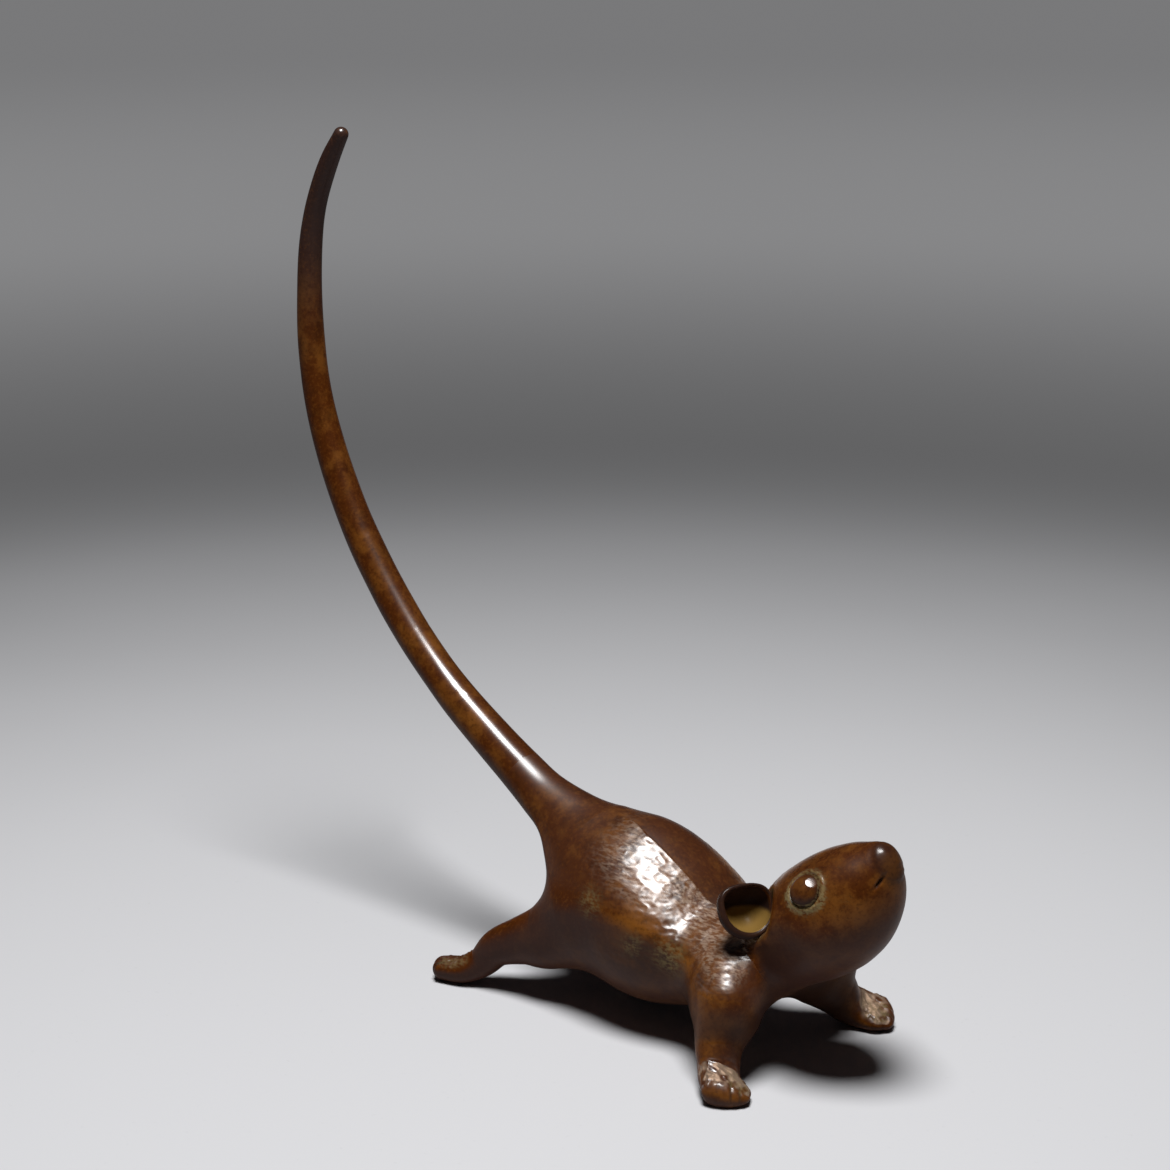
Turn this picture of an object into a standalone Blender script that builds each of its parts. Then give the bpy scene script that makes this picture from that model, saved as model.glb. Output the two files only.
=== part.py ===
"""A cast bronze mouse that stands on four feet, looks up and holds its long tail high.

The torso, head and tail follow one spine in the mid-plane, so their skins meet flush at the seams. Each leg lies in
an upright plane of its own. Every piece is seated by a round spigot, tang or peg in a socket of its neighbour.
X runs to the nose, Y to the mouse's left and Z up, with the floor at zero. Sizes are in millimetres.
"""

import math
from collections import namedtuple

import bmesh
import bpy
import numpy as np
from mathutils import Matrix, Vector

MM = 0.001

# Fits
SEAM_GAP = 0.3
FIT_CLEARANCE = 0.3
WELD_DISTANCE = 0.001

# Torso, from the tail seam to the neck seam
BODY_LENGTH = 54.5
BODY_WIDTH = 27.2
BODY_DEPTH = 26.2
BARREL_HEIGHT = 17.0
SPINE_RISE = 15.4

# Head, from the neck seam to the nose
HEAD_LENGTH = 26.4
HEAD_PITCH_DEGREES = 41.7
HEAD_WIDTH = 20.2
HEAD_DEPTH = 18.4
NOSE_ROUNDING = 4.2
NOSE_ROUNDING_START_DEGREES = 45.0
NECK_SPIGOT_RADIUS = 3.6
NECK_SPIGOT_LENGTH = 5.0

# Tail, from its seam at the rump to its tip
TAIL_REACH = 48.8
TAIL_HEIGHT = 99.5
TAIL_ROOT_RADIUS = 3.7
TAIL_TIP_RADIUS = 1.2
TAIL_TANG_RADIUS = 1.9
TAIL_TANG_LENGTH = 8.0

# Front legs: the shoulder's place on the torso, behind the neck seam, then the leg's own sizes
FORE_SETBACK = 7.9
FORE_SPREAD = 7.1
FORE_DROP = 1.8
FORE_SPLAY_DEGREES = 42.0
FORE_REACH = 18.2
FORE_ROOT_RADIUS = 6.2
FORE_ANKLE_RADIUS = 3.6
FORE_PAW_WIDTH = 8.4
FORE_PAW_THICKNESS = 4.4
FORE_SPIGOT_RADIUS = 2.0
FORE_SPIGOT_LENGTH = 5.0

# Hind legs: the hip's place on the torso, ahead of the tail seam, then the leg's own sizes
HIND_STATION = 19.0
HIND_SPREAD = 6.2
HIND_DROP = 6.6
HIND_SPLAY_DEGREES = 156.5
HIND_REACH = 23.6
HIND_ROOT_RADIUS = 6.9
HIND_ANKLE_RADIUS = 2.7
HIND_PAW_WIDTH = 5.4
HIND_PAW_THICKNESS = 3.4
HIND_SPIGOT_RADIUS = 2.4
HIND_SPIGOT_LENGTH = 6.0

# Toes, cut apart by grooves that fan out over each paw
TOE_COUNT = 4
TOE_LENGTH = 1.8
TOE_GROOVE_DEPTH = 0.5
TOE_GROOVE_WIDTH = 0.7

# Ears: round cups that open along the head, turned a little outward
EAR_STATION = 7.4
EAR_ANGLE_DEGREES = 23.0
EAR_STANDOFF = 2.3
EAR_TURN_DEGREES = 21.0
EAR_RADIUS = 4.4
EAR_DEPTH = 4.3
EAR_WALL = 0.8
EAR_PEG_RADIUS = 1.1
EAR_PEG_LENGTH = 3.5

# Eyes: domed studs, each sunk in a round seat
EYE_STATION = 16.8
EYE_ANGLE_DEGREES = 20.0
EYE_RADIUS = 2.7
EYE_DOME = 1.7
EYE_SEAT_DEPTH = 1.0
EYE_PEG_RADIUS = 0.9
EYE_PEG_LENGTH = 2.5

# Facets
TORSO_RINGS = 24
TORSO_SIDES = 36
HEAD_RINGS = 16
HEAD_SIDES = 36
TAIL_RINGS = 44
TAIL_SIDES = 14
LEG_RINGS = 18
LEG_SIDES = 24
ROUND_SIDES = 24
PEG_SIDES = 14
DOME_STEPS = 4

# Sections of the torso: shares of its length, of the spine's rise, of half its width, and of half its depth above
# and below the spine. The first is the tail seam, the widest is the barrel and the last is the neck seam.
TORSO_SECTIONS = (
    (0.00, 1.00, 0.27, 0.28, 0.28),
    (0.09, 0.78, 0.31, 0.34, 0.31),
    (0.175, 0.585, 0.42, 0.47, 0.36),
    (0.265, 0.365, 0.65, 0.72, 0.60),
    (0.375, 0.155, 0.87, 0.95, 0.94),
    (0.515, 0.00, 1.00, 0.99, 1.08),
    (0.65, -0.08, 0.985, 0.87, 1.01),
    (0.78, -0.115, 0.87, 0.63, 0.79),
    (0.90, -0.07, 0.73, 0.49, 0.65),
    (1.00, 0.115, 0.69, 0.48, 0.61),
)

# Sections of the head past the neck seam: shares of its length, of half its width and of half its depth above and
# below its axis.
HEAD_SECTIONS = (
    (0.25, 1.00, 0.86, 1.04),
    (0.49, 0.98, 0.91, 1.09),
    (0.72, 0.77, 0.72, 0.93),
    (0.895, 0.50, 0.48, 0.61),
    (1.00, 0.26, 0.26, 0.30),
)

# Sections of the tail from its tip down to its seam: shares of its reach, of its height and of the swelling from the
# tip's radius to the root's.
TAIL_SECTIONS = (
    (0.82, 1.00, 0.00),
    (0.875, 0.96, 0.12),
    (0.955, 0.877, 0.22),
    (1.00, 0.714, 0.37),
    (0.967, 0.55, 0.50),
    (0.84, 0.394, 0.62),
    (0.633, 0.245, 0.70),
    (0.34, 0.107, 0.76),
    (0.152, 0.045, 0.86),
)

Leg = namedtuple(
    "Leg", "name station spread drop splay reach root ankle paw_width paw_thickness spigot spigot_length"
)
FORELEG = Leg(
    "foreleg", BODY_LENGTH - FORE_SETBACK, FORE_SPREAD, FORE_DROP, math.radians(FORE_SPLAY_DEGREES), FORE_REACH,
    FORE_ROOT_RADIUS, FORE_ANKLE_RADIUS, FORE_PAW_WIDTH, FORE_PAW_THICKNESS, FORE_SPIGOT_RADIUS, FORE_SPIGOT_LENGTH,
)
HINDLEG = Leg(
    "hindleg", HIND_STATION, HIND_SPREAD, HIND_DROP, math.radians(HIND_SPLAY_DEGREES), HIND_REACH,
    HIND_ROOT_RADIUS, HIND_ANKLE_RADIUS, HIND_PAW_WIDTH, HIND_PAW_THICKNESS, HIND_SPIGOT_RADIUS, HIND_SPIGOT_LENGTH,
)

# Sides of the mouse, with the sign of Y
SIDES = (("right", -1.0), ("left", 1.0))


class Curve:
    """A smooth curve through rows of numbers. The first `route` columns are its path, and length along them is s."""

    def __init__(self, rows, route):
        self.rows = np.array(rows, float)
        steps = np.linalg.norm(np.diff(self.rows[:, :route], axis=0), axis=1)
        self.knots = np.concatenate([[0.0], np.cumsum(steps)])
        self.slopes = np.gradient(self.rows, self.knots, axis=0)
        self.route = route

    def row(self, s):
        """The row at length s, by a cubic in the span that s falls in."""
        i = int(np.clip(np.searchsorted(self.knots, s) - 1, 0, len(self.knots) - 2))
        span = self.knots[i + 1] - self.knots[i]
        t = (s - self.knots[i]) / span
        start = self.rows[i] * (1 + 2 * t) + self.slopes[i] * span * t
        end = self.rows[i + 1] * (3 - 2 * t) - self.slopes[i + 1] * span * (1 - t)
        return start * (1 - t) ** 2 + end * t**2

    def direction(self, s):
        """The path's unit direction at length s."""
        step = 0.01
        ahead = self.row(s + step)[: self.route] - self.row(s - step)[: self.route]
        return ahead / np.linalg.norm(ahead)


def spine_curve():
    """The whole animal's spine from the tail's tip to the nose: x, z, half width, rise and drop."""
    swelling = TAIL_ROOT_RADIUS - TAIL_TIP_RADIUS
    seam_z = BARREL_HEIGHT + SPINE_RISE
    rows = []
    for reach, height, share in TAIL_SECTIONS:
        radius = TAIL_TIP_RADIUS + share * swelling
        rows.append((-reach * TAIL_REACH, seam_z + height * TAIL_HEIGHT, radius, radius, radius))
    for along, lift, width, rise, drop in TORSO_SECTIONS:
        z = BARREL_HEIGHT + lift * SPINE_RISE
        half_depth = BODY_DEPTH / 2
        rows.append((along * BODY_LENGTH, z, width * BODY_WIDTH / 2, rise * half_depth, drop * half_depth))
    neck_x, neck_z = rows[-1][:2]
    pitch = math.radians(HEAD_PITCH_DEGREES)
    for along, width, rise, drop in HEAD_SECTIONS:
        x = neck_x + along * HEAD_LENGTH * math.cos(pitch)
        z = neck_z + along * HEAD_LENGTH * math.sin(pitch)
        half_depth = HEAD_DEPTH / 2
        rows.append((x, z, width * HEAD_WIDTH / 2, rise * half_depth, drop * half_depth))
    return Curve(rows, 2)


SPINE = spine_curve()
TAIL_SEAM = SPINE.knots[len(TAIL_SECTIONS)]
NECK_SEAM = SPINE.knots[len(TAIL_SECTIONS) + len(TORSO_SECTIONS) - 1]
NOSE = SPINE.knots[-1]


def spine_place(s):
    """The spine's point, its forward direction and its upward direction at length s."""
    x, z = SPINE.row(s)[:2]
    forward_x, forward_z = SPINE.direction(s)
    return Vector((x, 0.0, z)), Vector((forward_x, 0.0, forward_z)), Vector((-forward_z, 0.0, forward_x))


def spine_ring(s, sides, grow=0.0, shrink=1.0, shift=0.0):
    """One section of the animal: an oval whose upper and lower halves have their own heights."""
    centre, forward, up = spine_place(s)
    half_width, rise, drop = (SPINE.row(s)[2:] + grow) * shrink
    ring = []
    for i in range(sides):
        angle = math.tau * i / sides
        height = rise if math.sin(angle) > 0 else drop
        across = Vector((0.0, half_width * math.cos(angle), 0.0))
        ring.append(centre + forward * shift + across + up * height * math.sin(angle))
    return ring


def dome_turns(start=0.0):
    """Angles that step up a dome from a start on its side to near its top."""
    step = (math.pi / 2 - start) / (DOME_STEPS + 0.5)
    return [start + step * (i + 1) for i in range(DOME_STEPS)]


def rounded_end(s, length, sides, start=0.0):
    """Rings that close the spine at s with a dome of a given half length, forward if it is positive.

    The dome begins at the angle `start` up its side, so that it can carry on a taper.
    """
    rings = []
    for turn in dome_turns(start):
        shift = length * (math.sin(turn) - math.sin(start))
        rings.append(spine_ring(s, sides, 0.0, math.cos(turn) / math.cos(start), shift))
    return rings


def skin_radius(s, angle):
    """How far the skin is from the spine at length s, at an angle up from the side."""
    half_width, rise = SPINE.row(s)[2:4]
    return 1 / math.hypot(math.cos(angle) / half_width, math.sin(angle) / rise)


def skin_point(s, angle, side):
    """The skin's point at length s and at an angle up from the side, with the direction out to it."""
    centre, _, up = spine_place(s)
    outward = Vector((0.0, side * math.cos(angle), 0.0)) + up * math.sin(angle)
    return centre + outward * skin_radius(s, angle), outward


def skin_normal(s, angle, side):
    """The skin's normal, from two short steps along it and round it."""
    step = 0.05
    along = skin_point(s + step, angle, side)[0] - skin_point(s - step, angle, side)[0]
    turn = step / skin_radius(s, angle)
    around = skin_point(s, angle + turn, side)[0] - skin_point(s, angle - turn, side)[0]
    normal = along.cross(around).normalized()
    outward = skin_point(s, angle, side)[1]
    return normal if normal.dot(outward) > 0 else -normal


def torso_station(x):
    """The length along the spine at which the torso is x forward of the tail seam."""
    low, high = TAIL_SEAM, NECK_SEAM
    for _ in range(40):
        middle = (low + high) / 2
        if SPINE.row(middle)[0] < x:
            low = middle
        else:
            high = middle
    return low


def add_object(name, mesh, helper=False):
    """An object for a mesh, parented to the figure's empty. A helper only shapes other objects."""
    thing = bpy.data.objects.new(name, mesh)
    bpy.context.scene.collection.objects.link(thing)
    thing.parent = bpy.data.objects["mouse"]
    if helper:
        thing.hide_render = True
        thing.display_type = "WIRE"
    return thing


def add_loft(shell, rings):
    """Adds a closed body through rings of equally many points, with flat ends, to a shell."""
    loops = [[shell.verts.new(Vector(point) * MM) for point in ring] for ring in rings]
    for near, far in zip(loops, loops[1:]):
        for i in range(len(near)):
            shell.faces.new((near[i - 1], near[i], far[i], far[i - 1]))
    shell.faces.new(loops[0])
    shell.faces.new(loops[-1])


def shell_object(name, shell, helper=False):
    """An object for a finished shell, its faces turned outward."""
    bmesh.ops.recalc_face_normals(shell, faces=shell.faces)
    mesh = bpy.data.meshes.new(name)
    shell.to_mesh(mesh)
    shell.free()
    return add_object(name, mesh, helper)


def loft(name, rings, helper=False):
    """A closed solid through rings of equally many points."""
    shell = bmesh.new()
    add_loft(shell, rings)
    return shell_object(name, shell, helper)


def turned(name, profile, sides, helper=False):
    """A solid of revolution about its own Z, from a profile of (radius, height) between two points on the axis."""
    shell = bmesh.new()
    points = [shell.verts.new(Vector((radius, 0.0, height)) * MM) for radius, height in profile]
    edges = [shell.edges.new(pair) for pair in zip(points, points[1:])]
    bmesh.ops.spin(
        shell, geom=points + edges, cent=(0, 0, 0), axis=(0, 0, 1), angle=math.tau, steps=sides, use_merge=True
    )
    bmesh.ops.remove_doubles(shell, verts=shell.verts, dist=WELD_DISTANCE * MM)
    return shell_object(name, shell, helper)


def rod(name, start, end, radius):
    """A helper cylinder from one point to another."""
    length = (end - start).length
    made = turned(name, [(0.0, 0.0), (radius, 0.0), (radius, length), (0.0, length)], PEG_SIDES, True)
    made.matrix_local = facing(start, end - start)
    return made


def facing(place, axis):
    """A matrix that moves to a place and turns Z to an axis."""
    turn = axis.to_track_quat("Z", "Y").to_matrix().to_4x4()
    return Matrix.Translation(place * MM) @ turn


def combine(thing, other, operation):
    """Cuts another object from this one, or joins it to it."""
    modifier = thing.modifiers.new(f"{operation.lower()}_{other.name}", "BOOLEAN")
    modifier.operation = operation
    modifier.object = other
    modifier.solver = "EXACT"


def peg_and_socket(peg_owner, socket_owner, start, direction, radius, length, root):
    """A round peg on one piece and its socket in another.

    The peg leaves its owner at `start`, sunk `root` deep in it, and enters its neighbour by `length`.
    """
    direction = direction.normalized()
    foot = start - direction * root
    peg = rod(f"{peg_owner.name}_peg", foot, start + direction * length, radius)
    socket_end = start + direction * (length + FIT_CLEARANCE)
    socket = rod(f"{peg_owner.name}_socket", foot, socket_end, radius + FIT_CLEARANCE)
    combine(peg_owner, peg, "UNION")
    combine(socket_owner, socket, "DIFFERENCE")


def make_torso():
    places = np.linspace(TAIL_SEAM + SEAM_GAP / 2, NECK_SEAM - SEAM_GAP / 2, TORSO_RINGS)
    return loft("body", [spine_ring(s, TORSO_SIDES) for s in places])


def make_torso_clearance():
    """The torso grown by the seam gap, which cuts each leg's root to seat on it."""
    places = np.linspace(TAIL_SEAM + SEAM_GAP / 2, NECK_SEAM - SEAM_GAP / 2, TORSO_RINGS)
    return loft("body_clearance", [spine_ring(s, TORSO_SIDES, SEAM_GAP) for s in places], True)


def make_head(torso):
    places = np.linspace(NECK_SEAM + SEAM_GAP / 2, NOSE, HEAD_RINGS)
    rings = [spine_ring(s, HEAD_SIDES) for s in places]
    nose = rounded_end(NOSE, NOSE_ROUNDING, HEAD_SIDES, math.radians(NOSE_ROUNDING_START_DEGREES))
    head = loft("head", rings + nose)
    start, forward, _ = spine_place(NECK_SEAM + SEAM_GAP / 2)
    peg_and_socket(head, torso, start, -forward, NECK_SPIGOT_RADIUS, NECK_SPIGOT_LENGTH, NECK_SPIGOT_RADIUS)
    return head


def make_tail(torso):
    places = np.linspace(0.0, TAIL_SEAM - SEAM_GAP / 2, TAIL_RINGS)
    tip = rounded_end(0.0, -TAIL_TIP_RADIUS, TAIL_SIDES)
    tail = loft("tail", tip[::-1] + [spine_ring(s, TAIL_SIDES) for s in places])
    start, forward, _ = spine_place(TAIL_SEAM - SEAM_GAP / 2)
    peg_and_socket(tail, torso, start, forward, TAIL_TANG_RADIUS, TAIL_TANG_LENGTH, TAIL_TANG_RADIUS)
    return tail


def leg_curve(leg, root_height):
    """A leg in its own plane: reach, height, half width and half thickness from the hip or shoulder to the toes."""
    foot_height = leg.paw_thickness * 0.38
    rows = (
        (0.00, 1.00, leg.root, leg.root),
        (0.24, 0.79, leg.root * 0.86, leg.root * 0.86),
        (0.43, 0.52, (leg.root + 2 * leg.ankle) / 3, (leg.root + 2 * leg.ankle) / 3),
        (0.60, 0.26, leg.ankle, leg.ankle),
        (0.72, 0.09, leg.paw_width * 0.46, leg.paw_thickness * 0.76),
        (0.86, 0.02, leg.paw_width * 0.50, leg.paw_thickness * 0.59),
        (1.00, 0.00, leg.paw_width * 0.42, leg.paw_thickness * 0.45),
    )
    climb = root_height - foot_height
    return Curve([(reach * leg.reach, foot_height + lift * climb, wide, deep) for reach, lift, wide, deep in rows], 2)


def leg_ring(curve, s, shrink=1.0, shift=0.0):
    """One oval section of a leg, flattened where it meets the floor."""
    reach, height, half_width, half_depth = curve.row(s)
    forward, climb = curve.direction(s)
    ring = []
    for i in range(LEG_SIDES):
        angle = math.tau * i / LEG_SIDES
        lift = half_depth * shrink * math.sin(angle)
        x = reach + forward * shift - climb * lift
        z = height + climb * shift + forward * lift
        ring.append((x, half_width * shrink * math.cos(angle), max(z, 0.0)))
    return ring


def groove_section(curve, s, share, turn, depth):
    """A V that cuts one toe groove, across the paw at length s and turned down over the front edge."""
    reach, height, half_width, half_depth = curve.row(s)
    forward, climb = curve.direction(s)
    along = Vector((forward, 0.0, climb))
    up = Vector((-climb, 0.0, forward))
    roundness = math.sqrt(1 - share**2)
    outward = along * math.sin(turn) + up * math.cos(turn)
    bulge = along * TOE_LENGTH * math.sin(turn) + up * half_depth * math.cos(turn)
    surface = Vector((reach, share * half_width, height)) + bulge * roundness
    half_opening = Vector((0.0, TOE_GROOVE_WIDTH, 0.0))
    rim = surface + outward * TOE_GROOVE_DEPTH
    return surface - outward * depth, rim - half_opening, rim + half_opening


def toe_grooves(name, curve):
    """A helper with one V for each groove between toes, fanned over the paw and down its front edge."""
    shell = bmesh.new()
    end = curve.knots[-1]
    for i in range(1, TOE_COUNT):
        share = 2 * i / TOE_COUNT - 1
        rings = []
        for along, sunk in ((0.82, -0.5), (0.88, 0.6), (0.94, 1.0), (1.0, 1.0)):
            rings.append(groove_section(curve, along * end, share, 0.0, sunk * TOE_GROOVE_DEPTH))
        for turn in dome_turns() + [math.pi / 2]:
            rings.append(groove_section(curve, end, share, turn, TOE_GROOVE_DEPTH))
        add_loft(shell, rings)
    return shell_object(name, shell, True)


def make_leg(leg, side_name, side, torso, clearance):
    """A leg with its paw, its root cut to the torso's skin and seated on a spigot."""
    name = f"{leg.name}_{side_name}"
    station = torso_station(leg.station)
    root = spine_place(station)[0] + Vector((0.0, side * leg.spread, -leg.drop))
    curve = leg_curve(leg, root.z)
    places = np.linspace(0.0, curve.knots[-1], LEG_RINGS)
    toes = [leg_ring(curve, places[-1], math.cos(turn), TOE_LENGTH * math.sin(turn)) for turn in dome_turns()]
    made = loft(name, [leg_ring(curve, s) for s in places] + toes)
    foot_of_root = Vector((root.x, root.y, 0.0))
    splayed = Matrix.Rotation(side * leg.splay, 4, "Z")
    placing = Matrix.Translation(foot_of_root * MM) @ splayed
    made.matrix_local = placing
    combine(made, clearance, "DIFFERENCE")
    grooves = toe_grooves(f"{name}_grooves", curve)
    grooves.matrix_local = placing
    combine(made, grooves, "DIFFERENCE")
    inner, outer = (Vector((row[0], 0.0, row[1])) for row in curve.rows[:2])
    start = splayed @ outer + foot_of_root
    peg_and_socket(made, torso, start, splayed @ (inner - outer), leg.spigot, leg.spigot_length, leg.ankle)
    return made


def bowl(radius, depth, steps):
    """A round bowl's side from its bottom on the axis up to its rim, as (radius, height)."""
    turns = [math.pi / 2 * i / steps for i in range(steps + 1)]
    return [(radius * math.sin(turn), -depth * math.cos(turn)) for turn in turns]


def make_ear(side_name, side, head):
    """A round cup on the side of the head, its bowl in a seat and a peg in towards the spine."""
    name = f"ear_{side_name}"
    steps = 8
    inside = bowl(EAR_RADIUS - EAR_WALL, EAR_DEPTH - EAR_WALL, steps)
    outside = bowl(EAR_RADIUS, EAR_DEPTH, steps)
    lip = (EAR_RADIUS - EAR_WALL / 2, EAR_WALL / 2)
    station = NECK_SEAM + EAR_STATION
    skin, outward = skin_point(station, math.radians(EAR_ANGLE_DEGREES), side)
    centre = skin + outward * EAR_STANDOFF
    forward = spine_place(station)[1]
    turn = math.radians(EAR_TURN_DEGREES)
    axis = forward * math.cos(turn) + Vector((0.0, side * math.sin(turn), 0.0))
    placing = facing(centre, axis)
    ear = turned(name, outside + [lip] + inside[::-1], ROUND_SIDES)
    ear.matrix_local = placing
    seat_side = bowl(EAR_RADIUS + SEAM_GAP, EAR_DEPTH + SEAM_GAP, steps)
    seat = turned(f"{name}_seat", seat_side + [(EAR_RADIUS + SEAM_GAP, EAR_WALL), (0.0, EAR_WALL)], ROUND_SIDES, True)
    seat.matrix_local = placing
    combine(head, seat, "DIFFERENCE")
    inward = -outward
    back = max(0.0, -inward.dot(axis))
    around = math.sqrt(1 - back**2)
    wall_distance = 1 / math.hypot(around / EAR_RADIUS, back / EAR_DEPTH)
    start = centre + inward * wall_distance
    peg_and_socket(ear, head, start, inward, EAR_PEG_RADIUS, EAR_PEG_LENGTH, EAR_WALL / 2)
    return ear


def make_eye(side_name, side, head):
    """A domed stud on a peg, sunk in a round seat that leaves a fine groove about it."""
    name = f"eye_{side_name}"
    station = NECK_SEAM + EYE_STATION
    angle = math.radians(EYE_ANGLE_DEGREES)
    skin = skin_point(station, angle, side)[0]
    normal = skin_normal(station, angle, side)
    floor = skin - normal * EYE_SEAT_DEPTH
    steps = 6
    turns = [math.pi / 2 * i / steps for i in range(steps + 1)]
    dome = [(EYE_RADIUS * math.cos(turn), EYE_SEAT_DEPTH + EYE_DOME * math.sin(turn)) for turn in turns]
    under = [(0.0, SEAM_GAP), (EYE_RADIUS, SEAM_GAP)]
    placing = facing(floor, normal)
    eye = turned(name, under + dome[:-1] + [(0.0, dome[-1][1])], ROUND_SIDES)
    eye.matrix_local = placing
    seat_top = EYE_SEAT_DEPTH + EYE_DOME
    reach = EYE_RADIUS + SEAM_GAP
    seat = turned(f"{name}_seat", [(0.0, 0.0), (reach, 0.0), (reach, seat_top), (0.0, seat_top)], ROUND_SIDES, True)
    seat.matrix_local = placing
    combine(head, seat, "DIFFERENCE")
    start = floor + normal * SEAM_GAP
    peg_and_socket(eye, head, start, -normal, EYE_PEG_RADIUS, EYE_PEG_LENGTH, EYE_SEAT_DEPTH)
    return eye


def bronze(name, colour, roughness):
    """A Principled metal of one colour."""
    material = bpy.data.materials.new(name)
    material.use_nodes = True
    shader = material.node_tree.nodes["Principled BSDF"]
    shader.inputs["Base Color"].default_value = (*colour, 1.0)
    shader.inputs["Metallic"].default_value = 0.85
    shader.inputs["Roughness"].default_value = roughness
    return material


def finish(pieces, material):
    """Gives pieces a material and smooth shading up to their sharp edges."""
    for piece in pieces:
        piece.data.materials.append(material)
        piece.data.shade_smooth()
        piece.data.set_sharp_from_angle(angle=math.radians(40))


def stand_on_origin(pieces):
    """Moves the figure so that its origin is on the floor below the middle of its length."""
    bpy.context.view_layer.update()
    graph = bpy.context.evaluated_depsgraph_get()
    xs = []
    for piece in pieces:
        solid = piece.evaluated_get(graph)
        xs += [(solid.matrix_world @ Vector(corner)).x for corner in solid.bound_box]
    bpy.data.objects["mouse"].location.x = -(min(xs) + max(xs)) / 2


def main():
    for thing in list(bpy.data.objects):
        bpy.data.objects.remove(thing)
    bpy.context.scene.collection.objects.link(bpy.data.objects.new("mouse", None))
    torso = make_torso()
    clearance = make_torso_clearance()
    tail = make_tail(torso)
    head = make_head(torso)
    legs = [make_leg(leg, *side, torso, clearance) for leg in (FORELEG, HINDLEG) for side in SIDES]
    ears = [make_ear(*side, head) for side in SIDES]
    eyes = [make_eye(*side, head) for side in SIDES]
    finish([torso], bronze("bronze_chased", (0.16, 0.075, 0.028), 0.38))
    finish([head, tail], bronze("bronze_polished", (0.12, 0.05, 0.014), 0.25))
    finish(legs, bronze("bronze_brown", (0.11, 0.045, 0.013), 0.30))
    finish(ears, bronze("bronze_rubbed", (0.15, 0.075, 0.02), 0.28))
    finish(eyes, bronze("bronze_bright", (0.22, 0.12, 0.045), 0.15))
    stand_on_origin([torso, tail, head, *legs, *ears, *eyes])


main()
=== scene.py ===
"""The looks of a cast bronze mouse: skins worked out as grids of points, brown patina, and a pale table under a lamp.

The torso, head and tail are ovals carried along one spine, and each leg is ovals carried along a line of its own. One
field of distances shapes them all, so that they flow into each other. Lengths are in millimetres, with x counted from
the tail's seam, until a mesh is made in metres.
"""

import itertools
import math

import bpy
import numpy as np
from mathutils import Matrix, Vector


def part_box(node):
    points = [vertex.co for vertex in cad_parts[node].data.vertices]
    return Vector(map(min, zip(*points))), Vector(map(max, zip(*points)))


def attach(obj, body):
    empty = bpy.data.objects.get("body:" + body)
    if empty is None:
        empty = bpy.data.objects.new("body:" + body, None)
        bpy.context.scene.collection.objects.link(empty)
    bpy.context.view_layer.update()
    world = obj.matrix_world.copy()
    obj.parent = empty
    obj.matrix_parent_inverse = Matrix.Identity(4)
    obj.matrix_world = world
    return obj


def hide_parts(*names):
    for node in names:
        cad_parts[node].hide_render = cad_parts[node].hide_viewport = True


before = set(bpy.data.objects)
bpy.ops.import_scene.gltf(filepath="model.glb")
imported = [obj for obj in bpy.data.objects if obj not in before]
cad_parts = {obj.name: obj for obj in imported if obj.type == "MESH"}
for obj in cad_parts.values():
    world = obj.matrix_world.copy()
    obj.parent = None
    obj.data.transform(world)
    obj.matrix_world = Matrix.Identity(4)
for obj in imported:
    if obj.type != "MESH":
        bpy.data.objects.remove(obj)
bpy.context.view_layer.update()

bl_info = {
    "name": "Bronze mouse",
    "version": (1, 0, 0),
    "blender": (4, 5, 0),
    "location": "3D View > Sidebar > Bronze mouse",
    "description": "Builds the skins, finishes and stage of a cast bronze mouse",
    "category": "Object",
}

MM = 0.001

# Driving sizes of the castings
BODY_LENGTH = 54.5
BODY_WIDTH = 27.2
BODY_DEPTH = 26.2
BARREL_HEIGHT = 17.0
SPINE_RISE = 15.4
HEAD_LENGTH = 26.4
HEAD_PITCH = math.radians(41.7)
HEAD_WIDTH = 20.2
HEAD_DEPTH = 18.4
NOSE_ROUNDING = 4.2
NOSE_ROUNDING_START = math.radians(45.0)
TAIL_REACH = 48.8
TAIL_HEIGHT = 99.5
TAIL_ROOT_RADIUS = 3.7
TAIL_TIP_RADIUS = 1.2

# Ears: place on the head, turn and dip of the opening, the right ear's shift from the left one's mirror image, and size
EAR_STATION = 5.6
EAR_ANGLE = math.radians(26.0)
EAR_STANDOFF = 1.7
EAR_TURN = math.radians(21.0)
EAR_DIP = 0.25
EAR_SHIFT = np.array((-1.0, 1.05, 0.5))
EAR_RADIUS = 4.4
EAR_DEPTH = 4.3

# How far the head is scooped out before an ear's rim
EAR_SCOOP = 4.6

# An ear's rim above and below its middle: the oval's power, and its height against the radius
EAR_ARCH = (2.7, 0.84)
EAR_BASE = (2.0, 1.04)

# Eyes: place on the head, size, the share of it that shows, and the soft flat on the dome
EYE_STATION = 16.8
EYE_ANGLE = math.radians(20.0)
EYE_RADIUS = 2.7
EYE_DOME = 1.7
EYE_SHOWN = 0.9
EYE_FLAT = np.array((0.42, -0.39, 0.82))
EYE_FLAT_DEPTH = 0.2

# Torso: shares of its length, of the spine's rise, of half its width, and of half its depth above and below the spine
TORSO_SECTIONS = (
    (0.00, 1.00, 0.27, 0.28, 0.28),
    (0.09, 0.78, 0.31, 0.36, 0.25),
    (0.175, 0.585, 0.42, 0.50, 0.18),
    (0.265, 0.365, 0.65, 0.74, 0.37),
    (0.375, 0.155, 0.87, 0.95, 0.91),
    (0.515, 0.00, 1.00, 0.98, 1.08),
    (0.65, -0.08, 0.985, 0.79, 1.01),
    (0.78, -0.115, 0.85, 0.48, 0.79),
    (0.90, -0.07, 0.66, 0.38, 0.65),
    (1.00, 0.115, 0.60, 0.37, 0.61),
)

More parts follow.
